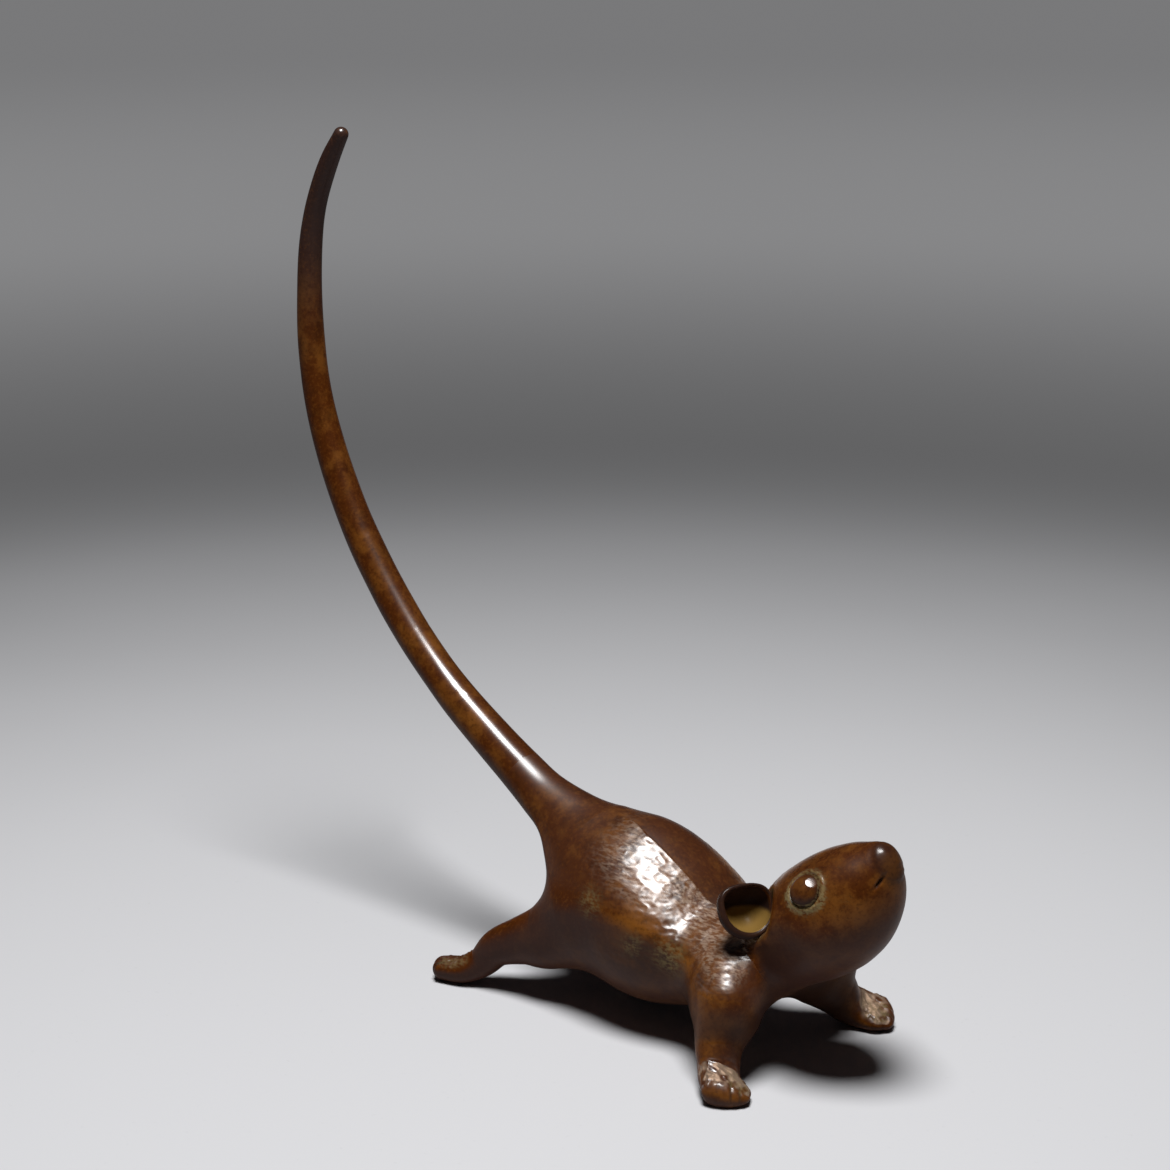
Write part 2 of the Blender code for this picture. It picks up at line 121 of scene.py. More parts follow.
# Head: shares of its length, of half its width, and of half its depth above and below its axis
HEAD_SECTIONS = (
    (0.25, 0.94, 0.80, 1.04),
    (0.49, 0.98, 0.83, 1.09),
    (0.72, 0.77, 0.72, 0.93),
    (0.895, 0.50, 0.52, 0.61),
    (1.00, 0.26, 0.30, 0.30),
)

# Tail from tip to seam: shares of its reach, of its height and of the swelling from the tip's radius to the root's
TAIL_SECTIONS = (
    (0.82, 1.00, 0.00),
    (0.875, 0.96, 0.12),
    (0.955, 0.877, 0.22),
    (1.00, 0.714, 0.37),
    (0.967, 0.55, 0.50),
    (0.84, 0.394, 0.62),
    (0.633, 0.245, 0.70),
    (0.34, 0.107, 0.76),
    (0.152, 0.045, 0.86),
)

# Each leg: the root's x, spread and drop from the spine, splay, reach, height of the paw's axis and paw width
LEG_SIZES = {
    "foreleg": (48.2, 5.0, 1.8, math.radians(50.0), 18.2, 1.7, 7.8),
    "hindleg": (19.0, 6.2, 6.6, math.radians(156.5), 23.6, 1.3, 5.4),
}

# Ovals of each leg from root to toes: shares of its reach and of its height, half its width, and its rise and drop
LEG_OVALS = {
    "foreleg": (
        (0.00, 1.00, 6.0, 5.8, 5.8),
        (0.24, 0.80, 6.1, 8.8, 5.4),
        (0.43, 0.56, 5.1, 9.2, 4.6),
        (0.62, 0.28, 3.5, 3.8, 3.6),
        (0.75, 0.10, 3.2, 2.7, 3.0),
        (0.88, 0.03, 3.8, 2.3, 2.5),
        (1.00, 0.00, 3.6, 2.1, 2.1),
    ),
    "hindleg": (
        (0.00, 1.00, 6.2, 6.2, 6.2),
        (0.24, 0.72, 5.4, 5.4, 5.4),
        (0.43, 0.60, 3.9, 3.9, 3.9),
        (0.60, 0.45, 3.1, 3.1, 3.1),
        (0.72, 0.21, 2.5, 2.5, 2.5),
        (0.86, 0.07, 2.7, 2.2, 2.2),
        (1.00, 0.05, 2.3, 1.9, 1.9),
    ),
}

# Length of the toes past the paw's axis, how far the front wrists are set out, and the blend between a pair of legs
TOE_LENGTH = 1.8
WRIST_SHIFT = 1.1
PAIR_BLEND = 3.0

# Each pair of paws: where the rough top starts on the right and on the left, how strongly that top is rubbed, which
# also paints a sheen on it, and the depth of the grooves
PAWS = {"foreleg": ((0.76, 0.66), 2.4, 0.45), "hindleg": ((0.73, 0.73), 0.6, 1.0)}

# Grooves between toes: places across the paw and shares of the depth
TOE_GROOVES = ((-0.3, 0.4), (0.19, 1.0), (0.55, 1.0))

# The nose's bridge, the right nostril's middle and the direction of its slit
NOSE_BRIDGE = (72.6, 0.0, 38.5)
NOSTRIL = (74.8, -2.9, 34.5)
NOSTRIL_RUN = (0.29, 0.57, 0.77)

# Patches of dust: place, width and amount
DUST_SPOTS = (
    (27.0, -12.8, 21.0, 3.6, 0.6),
    (42.5, -11.7, 16.0, 4.4, 0.62),
    (36.0, -12.5, 16.5, 3.2, 0.55),
    (68.7, -4.9, 35.9, 2.4, 0.3),
    (71.3, -6.5, 31.7, 2.2, 0.3),
)

# Smooth band along the back: half its width at places along x, and how much wider it is on the left
BAND_X = (20.0, 24.0, 30.0, 35.0, 39.5, 43.6, 48.0)
BAND_HALF = (1.0, 1.4, 3.0, 2.8, 2.5, 1.9, 1.2)
BAND_LEFT = 5.0
BAND_START, BAND_END = (21.0, 28.0), (44.0, 50.0)

# Chasing: where it starts and ends along x, where it starts up the sides, and the cells and seeds of its two ridges
CHASE_START, CHASE_END, CHASE_FLOOR = (21.0, 32.0), (54.0, 60.0), (10.0, 15.0)
CHASE_RIDGES = (((2.4, 1.6, 1.0), 3), ((1.3, 0.9, 0.5), 5))

# Where the painted shade on the haunches ends: along x, up the sides and down the feet. Where the tail's pits start and
# end
HAUNCH_SHADE_END, HAUNCH_SHADE_TOP, HAUNCH_SHADE_FOOT = (36.0, 52.0), (13.5, 23.0), (3.0, 9.0)
PITS_START, PITS_END = (55.0, 80.0), (100.0, 112.0)

# Points round each piece, the rump's length, where rings stand further apart, and how far pieces overlap at a seam
TORSO_RING, HEAD_RING, TAIL_RING, LEG_RING, EAR_RING, EYE_RING = 300, 400, 100, 180, 180, 120
RUMP_LENGTH = 10.0
OVERLAP = 1.1

# How many points are measured at a time
BATCH = 20000

# Numbers that stir a place and a seed into a hash
HASH_PRIMES = np.array((374761393, 668265263, 2147483629))
HASH_SEED = 974634777
HASH_STIR = 1274126177
HASH_BITS = 0xFFFFFFFF

# Roughness and refraction of the wax on each kind of finish
WAX = {
    "bronze_chased": (0.34, 2.1),
    "bronze_polished": (0.24, 1.85),
    "bronze_brown": (0.35, 2.1),
    "bronze_rubbed": (0.25, 1.85),
    "bronze_bright": (0.2, 1.85),
}


def a_length(name, description, default):
    return bpy.props.FloatProperty(name=name, description=description, default=default, unit="LENGTH", precision=5)


def an_angle(name, description, default):
    return bpy.props.FloatProperty(name=name, description=description, default=default, unit="ROTATION")


def a_share(name, description, default):
    return bpy.props.FloatProperty(name=name, description=description, default=default, min=0, max=1, subtype="FACTOR")


def a_place(name, description, default):
    settings = {"subtype": "XYZ", "unit": "LENGTH"}
    return bpy.props.FloatVectorProperty(name=name, description=description, default=default, **settings)


def a_colour(name, description, default):
    settings = {"min": 0, "max": 1, "subtype": "COLOR"}
    return bpy.props.FloatVectorProperty(name=name, description=description, default=default, **settings)


class ShapeSettings(bpy.types.PropertyGroup):
    """Sizes of the finish that is worked into the castings."""

    chase_depth: a_length("Chase depth", "Depth of the hammered marks on the flanks", 0.00010)
    band_step: a_length("Band step", "How far the flanks stand above the smooth band along the back", 0.00065)
    fore_blend: a_length("Shoulder blend", "Width over which a front leg flows into the torso", 0.0045)
    hind_blend: a_length("Thigh blend", "Width over which a hind leg flows into the torso", 0.0052)
    toe_groove: a_length("Toe groove", "Depth of the grooves between the toes", 0.00035)
    paw_tilt: a_share("Paw tilt", "Share by which a front paw is taller on its outer side", 0.34)
    ear_wall: a_length("Ear wall", "Thickness of the ear cups", 0.0008)
    eye_ring: a_length("Eye ring", "Height of the raised ring about each eye", 0.00020)
    nostril_depth: a_length("Nostril depth", "Depth of the nostril slits", 0.0006)


class ColourSettings(bpy.types.PropertyGroup):
    """Colours of the patina, of what shows through it, of the table and of the light around; some also serve as painted
    shade, light and sheen.
    """

    patina: a_colour("Patina", "Main brown of the patina", (0.080, 0.020, 0.003))
    patina_light: a_colour("Light patina", "Thin, lighter patina", (0.208, 0.072, 0.011))
    # Also the painted shade: down-facing skin and the lower haunches darken to this colour, and painted hollows, ears'
    # outsides and front legs' inner sides to half of it
    dark_patina_and_shade: a_colour("Dark patina", "Smoky patina of the tail's tip and hollows", (0.042, 0.024, 0.021))
    # Also the colour of a painted sheen on the chased flanks' tops, the paws' tops and the ears' lower lips
    rubbed: a_colour("Rubbed metal", "Bronze that shows where hands have rubbed it", (0.50, 0.36, 0.26))
    dust: a_colour("Dust", "Olive dust in the hollows", (0.25, 0.19, 0.085))
    # Painted light: this yellower metal goes only on the lower inside of each ear, where light falls into the cup
    lining_painted_light: a_colour("Ear lining", "Yellower metal inside the ears", (0.23, 0.135, 0.034))
    floor: a_colour("Table", "Pale table top", (0.74, 0.74, 0.76))
    around: a_colour("Surroundings", "Light from all around", (0.8, 0.86, 1.0))


class StageSettings(bpy.types.PropertyGroup):
    """Lamp, surroundings and camera."""

    lamp_place: a_place("Lamp place", "Place of the soft lamp above the table", (0.08, -0.09, 0.60))
    lamp_width: a_length("Lamp width", "Width of the soft lamp", 0.23)
    lamp_power: bpy.props.FloatProperty(
        name="Lamp power", description="Power of the soft lamp", default=3.75, unit="POWER"
    )
    ambient: a_share("Ambient", "Brightness of the surroundings", 0.010)
    azimuth: an_angle("Azimuth", "Camera's turn from the mouse's right side towards its nose", math.radians(43.0))
    elevation: an_angle("Elevation", "Camera's height as an angle", math.radians(16.0))
    distance: a_length("Distance", "Camera's distance from its target", 0.445)
    field: an_angle("Field", "Camera's field of view", math.radians(24.0))
    target: a_place("Target", "Point that the camera looks at", (-0.00906, 0.0114, 0.062))


def mm(length):
    return length / MM


def ease(x, low, high):
    """A smooth step: 0 below low, 1 above high, and a cubic between."""
    t = np.clip((x - low) / (high - low), 0.0, 1.0)
    return t * t * (3 - 2 * t)


def bell(x, width):
    """A bump of height 1 at zero that falls off as a Gaussian."""
    return np.exp(-((x / width) ** 2))


def size_of(vectors):
    return np.linalg.norm(vectors, axis=-1)


def unit(vectors):
    return vectors / np.maximum(size_of(vectors)[..., None], 1e-12)


def turns(count):
    """Even angles round a ring."""
    return np.linspace(0.0, math.tau, count, endpoint=False)


def lifted(points, normals, lift):
    """Points carried out along their normals."""
    return points + normals * lift[..., None]


def tilt_of(normals):
    """How far a skin faces down, from 0 where it faces up to 1."""
    return 0.5 - 0.5 * normals[..., 2]


def lattice(cell, seed):
    """A fixed number from 0 to 1 for each corner of a cubic lattice, from an integer hash of its place."""
    h = ((cell * HASH_PRIMES).sum(axis=-1) + seed * HASH_SEED) & HASH_BITS
    h = ((h ^ (h >> 13)) * HASH_STIR) & HASH_BITS
    return ((h ^ (h >> 16)) & 0xFFFF) / 0xFFFF


def noise(points, size, seed):
    """Value noise from -1 to 1: hashed numbers at the corners of cells of a size, blended by a smooth step."""
    place = points / size
    cell = np.floor(place).astype(np.int64)
    t = place - cell
    t = t * t * t * (t * (t * 6 - 15) + 10)
    total = np.zeros(points.shape[:-1])
    for corner in itertools.product((0, 1), repeat=3):
        weight = np.prod(np.where(corner, t, 1 - t), axis=-1)
        total += weight * lattice(cell + np.array(corner), seed)
    return 2 * total - 1


def join(a, b, width):
    """Smooth union of two distances: the lesser, less a parabola where they differ by under a width."""
    return np.minimum(a, b) - np.maximum(width - np.abs(a - b), 0.0) ** 2 / (4 * width)


def settle(field, low, high, steps=16, walk=1):
    """Where a field first rises through zero between low and high: a walk in even steps, then halving the last one."""
    stride = (high - low) / walk
    inside = np.ones(low.shape, bool)
    for _ in range(walk - 1):
        inside &= field(low + stride) < 0
        low = np.where(inside, low + stride, low)
    high = low + stride
    for _ in range(steps):
        middle = (low + high) / 2
        inside = field(middle) < 0
        low = np.where(inside, middle, low)
        high = np.where(inside, high, middle)
    return (low + high) / 2


class Route:
    """A smooth curve through rows of numbers, the first two its path: cubics between rows, by length along the path."""

    def __init__(self, rows):
        self.rows = np.array(rows, float)
        steps = np.linalg.norm(np.diff(self.rows[:, :2], axis=0), axis=1)
        self.knots = np.concatenate([[0.0], np.cumsum(steps)])
        self.slopes = np.gradient(self.rows, self.knots, axis=0)

    def at(self, s):
        s = np.asarray(s, float)
        i = np.clip(np.searchsorted(self.knots, s) - 1, 0, len(self.knots) - 2)
        span = (self.knots[i + 1] - self.knots[i])[..., None]
        t = (s - self.knots[i])[..., None] / span
        start = self.rows[i] * (1 + 2 * t) + self.slopes[i] * span * t
        end = self.rows[i + 1] * (3 - 2 * t) - self.slopes[i + 1] * span * (1 - t)
        return start * (1 - t) ** 2 + end * t**2

    def direction(self, s):
        return unit((self.at(s + 0.01) - self.at(s - 0.01))[..., :2])


class Limb:
    """Ovals carried along a route in an upright plane that stands at (x, y), turned about Z.

    The route's rows are forward, up, half width, rise and drop. Past either end of it the oval shrinks as a dome.
    """

    def __init__(self, rows, x=0.0, y=0.0, turn=0.0, start_dome=(0.0, 0.0), end_dome=(0.0, 0.0), felt_from=0.0):
        self.route = Route(rows)
        self.length = self.route.knots[-1]
        self.foot = np.array((x, y))
        self.cos, self.sin = math.cos(turn), math.sin(turn)
        self.start_dome, self.end_dome = start_dome, end_dome
        self.stations = np.arange(felt_from, self.length, 0.25)
        self.samples = self.route.at(self.stations)
        self.tangents = self.route.direction(self.stations)
        self.growth = np.gradient(self.samples[:, 2:], self.stations, axis=0)

    def to_plane(self, points):
        x, y = points[..., 0] - self.foot[0], points[..., 1] - self.foot[1]
        return np.stack([self.cos * x + self.sin * y, self.cos * y - self.sin * x, points[..., 2]], axis=-1)

    def from_plane(self, points):
        x, y = points[..., 0], points[..., 1]
        along, across = self.cos * x - self.sin * y, self.sin * x + self.cos * y
        return np.stack([along + self.foot[0], across + self.foot[1], points[..., 2]], axis=-1)

    def axis(self, s):
        """The axis point, direction and oval at each length, with the domes that close both ends."""
        inner = np.clip(s, 0.0, self.length)
        rows, direction = self.route.at(inner), self.route.direction(inner)
        shrink, shift = np.ones_like(inner), np.zeros_like(inner)
        for past, (dome, start), sign in ((-s, self.start_dome, -1), (s - self.length, self.end_dome, 1)):
            out = past > 0
            turn = start + (math.pi / 2 - start) * np.clip(past / max(dome, 1e-9), 0.0, 1.0)
            shrink = np.where(out, np.cos(turn) / math.cos(start), shrink)
            shift = np.where(out, sign * dome * (np.sin(turn) - math.sin(start)), shift)
        centre = rows[:, :2] + direction * shift[:, None]
        return centre, direction, rows[:, 2:] * shrink[:, None]

    def skin(self, s, v):
        """Points c(s) + half width cos v across + height sin v up the plane's normal, with its own height below."""
        centre, direction, oval = self.axis(s)
        height = np.where(np.sin(v) > 0, oval[:, 1:2], oval[:, 2:3]) * np.sin(v)
        forward = centre[:, :1] - direction[:, 1:] * height
        up = centre[:, 1:] + direction[:, :1] * height
        return self.from_plane(np.stack([forward, oval[:, :1] * np.cos(v), up], axis=-1))

    def spine_points(self, s):
        centre = self.axis(s)[0]
        return self.from_plane(np.stack([centre[:, 0], 0 * s, centre[:, 1]], axis=-1))

    def distance(self, points):
        """Distance out from the skin: length from the axis, less that length's share within the oval."""
        place = self.to_plane(points).reshape(-1, 3)
        out = np.empty(len(place))
        path = self.samples[:, :2].astype(np.float32)
        for first in range(0, len(place), BATCH):
            part = place[first : first + BATCH]
            nearest = np.argmin((path**2).sum(-1) - 2 * part[:, ::2].astype(np.float32) @ path.T, axis=1)
            offset = part[:, ::2] - self.samples[nearest, :2]
            tangent = self.tangents[nearest]
            along = (offset * tangent).sum(-1)
            height = offset[:, 1] * tangent[:, 0] - offset[:, 0] * tangent[:, 1]
            beyond = (nearest == 0) & (along < 0) | (nearest == len(self.stations) - 1) & (along > 0)
            oval = self.samples[nearest, 2:] + self.growth[nearest] * np.where(beyond, 0.0, along)[:, None]
            past = np.where(beyond, along, 0.0)
            tall = np.where(height > 0, oval[:, 1], oval[:, 2])
            share = np.sqrt((part[:, 1] / oval[:, 0]) ** 2 + (height / tall) ** 2 + (past / tall) ** 2) + 1e-9
            out[first : first + BATCH] = np.sqrt(part[:, 1] ** 2 + height**2 + past**2) * (1 - 1 / share)
        return out.reshape(points.shape[:-1])


def spine_limb():
    """The whole animal's spine from the tail's tip to the nose."""
    swelling = TAIL_ROOT_RADIUS - TAIL_TIP_RADIUS
    rows = []
    for reach, height, share in TAIL_SECTIONS:
        radius = TAIL_TIP_RADIUS + share * swelling
        rows.append((-reach * TAIL_REACH, BARREL_HEIGHT + SPINE_RISE + height * TAIL_HEIGHT, radius, radius, radius))
    for along, lift, width, rise, drop in TORSO_SECTIONS:
        z = BARREL_HEIGHT + lift * SPINE_RISE
        rows.append((along * BODY_LENGTH, z, width * BODY_WIDTH / 2, rise * BODY_DEPTH / 2, drop * BODY_DEPTH / 2))
    neck_x, neck_z = rows[-1][:2]
    for along, width, rise, drop in HEAD_SECTIONS:
        x = neck_x + along * HEAD_LENGTH * math.cos(HEAD_PITCH)
        z = neck_z + along * HEAD_LENGTH * math.sin(HEAD_PITCH)
        rows.append((x, z, width * HEAD_WIDTH / 2, rise * HEAD_DEPTH / 2, drop * HEAD_DEPTH / 2))
    domes = {"start_dome": (TAIL_TIP_RADIUS, 0.0), "end_dome": (NOSE_ROUNDING, NOSE_ROUNDING_START)}
    return Limb(rows, **domes, felt_from=0.9 * TAIL_HEIGHT)


SPINE = spine_limb()
TAIL_SEAM = SPINE.route.knots[len(TAIL_SECTIONS)]
NECK_SEAM = SPINE.route.knots[len(TAIL_SECTIONS) + len(TORSO_SECTIONS) - 1]


def leg_limb(kind):
    """A right leg from its root inside the torso down to its toes."""
    x, spread, drop, splay, reach, foot, _ = LEG_SIZES[kind]
    stations = np.linspace(TAIL_SEAM, NECK_SEAM, 2000)
    height = np.interp(x, *SPINE.route.at(stations)[:, :2].T) - drop
    ovals = LEG_OVALS[kind]
    rows = [(a * reach, foot + b * (height - foot), *oval) for a, b, *oval in ovals]
    return Limb(rows, x, -spread, -splay, start_dome=(ovals[0][2], 0.0), end_dome=(TOE_LENGTH, 0.0))


LEGS = {kind: leg_limb(kind) for kind in LEG_SIZES}


def rear_of_tail():
    """The least x of the tail's skin: the axis less the radius times the slope's rise."""
    s = np.linspace(0.0, TAIL_SEAM, 800)
    rows = SPINE.route.at(s)
    return (rows[:, 0] - np.abs(SPINE.route.direction(s)[:, 1]) * rows[:, 2]).min()


ORIGIN_X = rear_of_tail() - mm(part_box("tail")[0][0])


def mirrored(points):
    return points * np.array((1.0, -1.0, 1.0))


def right_side(points):
    return np.stack([points[..., 0], -np.abs(points[..., 1]), points[..., 2]], axis=-1)


def legs_distance(kind, points):
    """Distance to a pair of like legs."""
    leg = LEGS[kind]
    return join(leg.distance(points), leg.distance(mirrored(points)), PAIR_BLEND)


def grid_normals(points):
    """Unit normals of a grid that is closed in its second direction, from differences along and around it."""
    along = np.gradient(points, axis=0)
    around = np.roll(points, -1, axis=1) - np.roll(points, 1, axis=1)
    normals = unit(np.cross(along, around))
    outward = (normals * (points - points.mean(axis=1, keepdims=True))).sum()
    return normals if outward > 0 else -normals


def put_mesh(name, points, masks):
    """A closed piece from a grid: quads around and along, and a fan to a pole in the middle of each end ring."""
    rows, ring = points.shape[:2]
    poles = np.stack([points[0].mean(axis=0), points[-1].mean(axis=0)])
    vertices = np.concatenate([points.reshape(-1, 3), poles])
    corner = np.arange(rows * ring).reshape(rows, ring)
    after = np.roll(corner, -1, axis=1)
    quads = np.stack([corner[:-1], after[:-1], after[1:], corner[1:]], axis=-1).reshape(-1, 4)
    first = np.stack([after[0], corner[0], np.full(ring, rows * ring)], axis=-1)
    last = np.stack([corner[-1], after[-1], np.full(ring, rows * ring + 1)], axis=-1)
    fans = np.concatenate([first, last])
    a, b, c, d = (vertices[quads[:, i]] for i in range(4))
    volume = (np.cross(a, b) * c).sum() + (np.cross(a, c) * d).sum()
    if volume < 0:
        quads, fans = quads[:, ::-1], fans[:, ::-1]
    loops = np.concatenate([quads.reshape(-1), fans.reshape(-1)])
    starts = np.concatenate([np.arange(len(quads)) * 4, len(quads) * 4 + np.arange(len(fans)) * 3])
    mesh = bpy.data.meshes.new(name)
    mesh.vertices.add(len(vertices))
    mesh.vertices.foreach_set("co", ((vertices - (ORIGIN_X, 0.0, 0.0)) * MM).astype(np.float32).reshape(-1))
    mesh.loops.add(len(loops))
    mesh.loops.foreach_set("vertex_index", loops.astype(np.int32))
    mesh.polygons.add(len(starts))
    mesh.polygons.foreach_set("loop_start", starts.astype(np.int32))
    mesh.update(calc_edges=True)
    mesh.validate()
    mesh.shade_smooth()
    for mask, values in masks.items():
        layer = mesh.attributes.new(mask, "FLOAT", "POINT")
        flat = np.concatenate([values.reshape(-1), [values[0].mean(), values[-1].mean()]])
        layer.data.foreach_set("value", flat.astype(np.float32))
    piece = bpy.data.objects.new(name, mesh)
    bpy.context.scene.collection.objects.link(piece)
    return piece


def flow_out(points, normals, shape):
    """Carries skin out along its normals on to the smooth union with the legs, and back under a leg that is nearer."""
    widths = {"foreleg": mm(shape.fore_blend), "hindleg": mm(shape.hind_blend)}
    reach = np.minimum(*(legs_distance(kind, points) - width for kind, width in widths.items()))
    near = reach < 0.5
    base, out = points[near], normals[near]

    def parts(t):
        place = base + out * t[:, None]
        return SPINE.distance(place), {kind: legs_distance(kind, place) for kind in widths}

    def field(t):
        skin, legs = parts(t)
        for kind, width in widths.items():
            skin = join(skin, legs[kind], width)
        return skin

    rise = settle(field, np.zeros(len(base)), np.full(len(base), max(widths.values())), 10, 8)
    skin, legs = parts(rise)
    margin = skin - np.minimum(*legs.values())
    rise = rise * (1 - ease(reach[near], -0.4, 0.5))
    moved = points.copy()
    moved[near] = base + out * (rise * (1 - ease(margin, 0.4, 1.8)) - 0.02 * ease(margin, 0.0, 0.5))[:, None]
    return moved


def chase_share(points):
    """Where the castings are chased: the flanks and shoulders, fading to the rump, the neck, the belly and the legs."""
    x, z = points[..., 0], points[..., 2]
    return ease(x, *CHASE_START) * (1 - ease(x, *CHASE_END)) * ease(z, *CHASE_FLOOR)


def chasing(points):
    """Hammer marks: sharp ridges where two sizes of noise pass through zero, over shallow dents."""
    coarse, fine = (0.4 - np.abs(noise(points, cell, seed)) for cell, seed in CHASE_RIDGES)
    return coarse + 0.7 * fine + 0.5 * noise(points, 3.4, 8)


def swell(points):
    """Faint, broad dents that run on from one casting to the next."""
    return 0.05 * noise(points, 7.0, 21)


def back_band(points, normals):
    """Share of the smooth band along the back, and the distance out across its edge, which is further on the left."""
    x, y = points[..., 0], points[..., 1]
    half = np.interp(x, BAND_X, BAND_HALF)
    along = ease(x, *BAND_START) * (1 - ease(x, *BAND_END)) * (normals[..., 2] > 0.2)
    return along, np.where(y < 0, -y - half, 0.25 * (y - half - BAND_LEFT))


def sink_ends(s, points, normals, first, last):
    """Sinks the rings past a seam by the square of their distance from it."""
    past = np.maximum(first - s, 0.0) + np.maximum(s - last, 0.0)
    return points - normals * (0.03 * past**2 + 0.004 * past)[:, None, None]


def skin_masks(points, normals, chase):
    """Chasing, downward tilt, which the material darkens as painted shade, with more painted shade added on the lower
    haunches, and blank hollows and edges of a grid as values for its material.
    """
    x, z = points[..., 0], points[..., 2]
    # Painted shade on the lower hindquarters, added to the tilt: it fades out forwards and upwards, and to half its
    # strength at the feet
    haunch_shade = (1 - ease(x, *HAUNCH_SHADE_END)) * (1 - ease(z, *HAUNCH_SHADE_TOP)) * (0.5 + 0.5 * ease(z, *HAUNCH_SHADE_FOOT))
    blank = np.zeros(x.shape)
    return {"hollow": blank, "edge": blank, "chase": chase, "tilt": tilt_of(normals) + 0.32 * haunch_shade}


def dust_share(points):
    """Patches of dust on both sides, as bells about their middles."""
    place = right_side(points)
    share = np.zeros(points.shape[:-1])
    for x, y, z, width, amount in DUST_SPOTS:
        share = np.maximum(share, amount * bell(size_of(place - (x, y, z)), width))
    return share


def torso_skin(shape):
    """The torso's grid and masks: spine ovals, leg roots flowing out, the band along the back and hammered flanks."""
    rump_end = TAIL_SEAM + RUMP_LENGTH
    rump = np.linspace(TAIL_SEAM - OVERLAP, rump_end, 40, endpoint=False)
    s = np.concatenate([rump, np.linspace(rump_end, NECK_SEAM + OVERLAP, 270)])
    v = turns(TORSO_RING)
    v = v + 0.4 * np.cos(v)
    points = SPINE.skin(s, v)
    normals = grid_normals(points)
    along, across = back_band(points, normals)
    points = flow_out(points, normals, shape)
    normals = grid_normals(points)
    chase = chase_share(points) * (1 - along * (1 - ease(across, -0.3, 0.5)))
    lip = ease(across, -0.35, 0.15) * np.exp(-np.maximum(across, 0.0) / 2.6) * ease(-points[..., 1], 0.0, 1.0)
    lift = mm(shape.chase_depth) * chase * chasing(points) + mm(shape.band_step) * along * lip + swell(points)
    points = lifted(points, normals, lift)
    masks = skin_masks(points, normals, chase)
    masks["dust"] = dust_share(points)
    return sink_ends(s, points, normals, TAIL_SEAM, NECK_SEAM), masks


def ear_place():
    """The right ear's centre and its axis, along which the cup opens."""
    s = np.array([NECK_SEAM + EAR_STATION])
    centre, direction, oval = SPINE.axis(s)
    radius = 1 / math.hypot(math.cos(EAR_ANGLE) / oval[0, 0], math.sin(EAR_ANGLE) / oval[0, 1])
    up = np.array((-direction[0, 1], 0.0, direction[0, 0]))
    outward = np.array((0.0, -math.cos(EAR_ANGLE), 0.0)) + up * math.sin(EAR_ANGLE)
    forward = np.array((direction[0, 0], 0.0, direction[0, 1]))
    axis = forward * math.cos(EAR_TURN) + np.array((0.0, -math.sin(EAR_TURN), -EAR_DIP))
    base = np.array((centre[0, 0], 0.0, centre[0, 1])) + EAR_SHIFT
    return base + outward * (radius + EAR_STANDOFF), unit(axis)


def eye_place():
    """The right eye's centre on the skin and the skin's normal there."""
    s = np.array([-0.05, 0.0, 0.05]) + NECK_SEAM + EYE_STATION
    half_width, rise, _ = SPINE.axis(s)[2][1]
    turn = math.atan2(math.sin(EYE_ANGLE) / rise, math.cos(EYE_ANGLE) / half_width)
    v = math.pi - turn + np.array([-0.01, 0.0, 0.01])
    patch = SPINE.skin(s, v)
    normal = unit(np.cross(patch[2, 1] - patch[0, 1], patch[1, 2] - patch[1, 0]))
    return patch[1, 1], normal if normal[1] < 0 else -normal


EAR_CENTRE, EAR_AXIS = ear_place()
EYE_CENTRE, EYE_NORMAL = eye_place()


def frame_about(axis):
    """Two unit vectors across an axis, the first as level as can be."""
    first = unit(np.cross((0.0, 0.0, 1.0), axis))
    return first, np.cross(axis, first)


def from_ear(points):
    """Offsets from the ear on the same side, as seen on the right: the left ear is without the right one's shift."""
    left = points[..., 1:2] > 0
    return right_side(points) - EAR_CENTRE + left * EAR_SHIFT


def ear_outline(turn):
    """Radius of the ear's rim at an angle round its axis: round below, and a flatter, squarer arch above."""
    across, up = np.abs(np.cos(turn)), np.sin(turn)
    power, tall = (np.where(up > 0, above, below) for above, below in zip(EAR_ARCH, EAR_BASE))
    return EAR_RADIUS * (across**power + np.abs(up / tall) ** power) ** (-1 / power)


def ear_seat(points, normals, wall):
    """Sinks the head's skin clear of an ear's hollow and of a scoop before its rim, with a fillet to the cup's back."""
    margin = 0.15 * wall
    middle = EAR_RADIUS - margin
    first, second = frame_about(EAR_AXIS)
    near = size_of(from_ear(points)) < 3.2 * EAR_RADIUS
    base, out = points[near], normals[near]

    def local(t):
        offset = from_ear(base + out * t[:, None])
        across, up = offset @ first, offset @ second
        return offset @ EAR_AXIS, np.hypot(across, up) * EAR_RADIUS / ear_outline(np.arctan2(up, across))

    def bowl(ahead, aside, wide, deep):
        return (np.sqrt((aside / wide) ** 2 + (ahead / deep) ** 2) - 1) * wide

    def hollow(t):
        ahead, aside = local(t)
        return bowl(ahead, aside, middle, np.where(ahead < 0, EAR_DEPTH - margin, EAR_SCOOP))

    def carved(t):
        return -join(-t, hollow(t), 1.6)

    def cup(t):
        ahead, aside = local(t)
        return bowl(ahead, aside, EAR_RADIUS, EAR_DEPTH) + 4.0 * ease(ahead, -0.8, 0.6)

    zero = np.zeros(len(base))
    drop = settle(carved, zero - 4.0, zero + 0.3)
    rise = settle(lambda t: join(t, cup(t), 1.1), zero - 0.2, zero + 0.6)
    inside = ease(-cup(zero), -0.1, 0.3)
    moved, close = points.copy(), np.zeros(points.shape[:2])
    moved[near] = base + out * np.where(drop < -0.02, drop, rise * (1 - inside))[:, None]
    close[near] = bell(cup(zero), 1.2) + bell(hollow(zero), 1.0) * (local(zero)[0] > 0)
    return moved, np.clip(close, 0.0, 1.0)


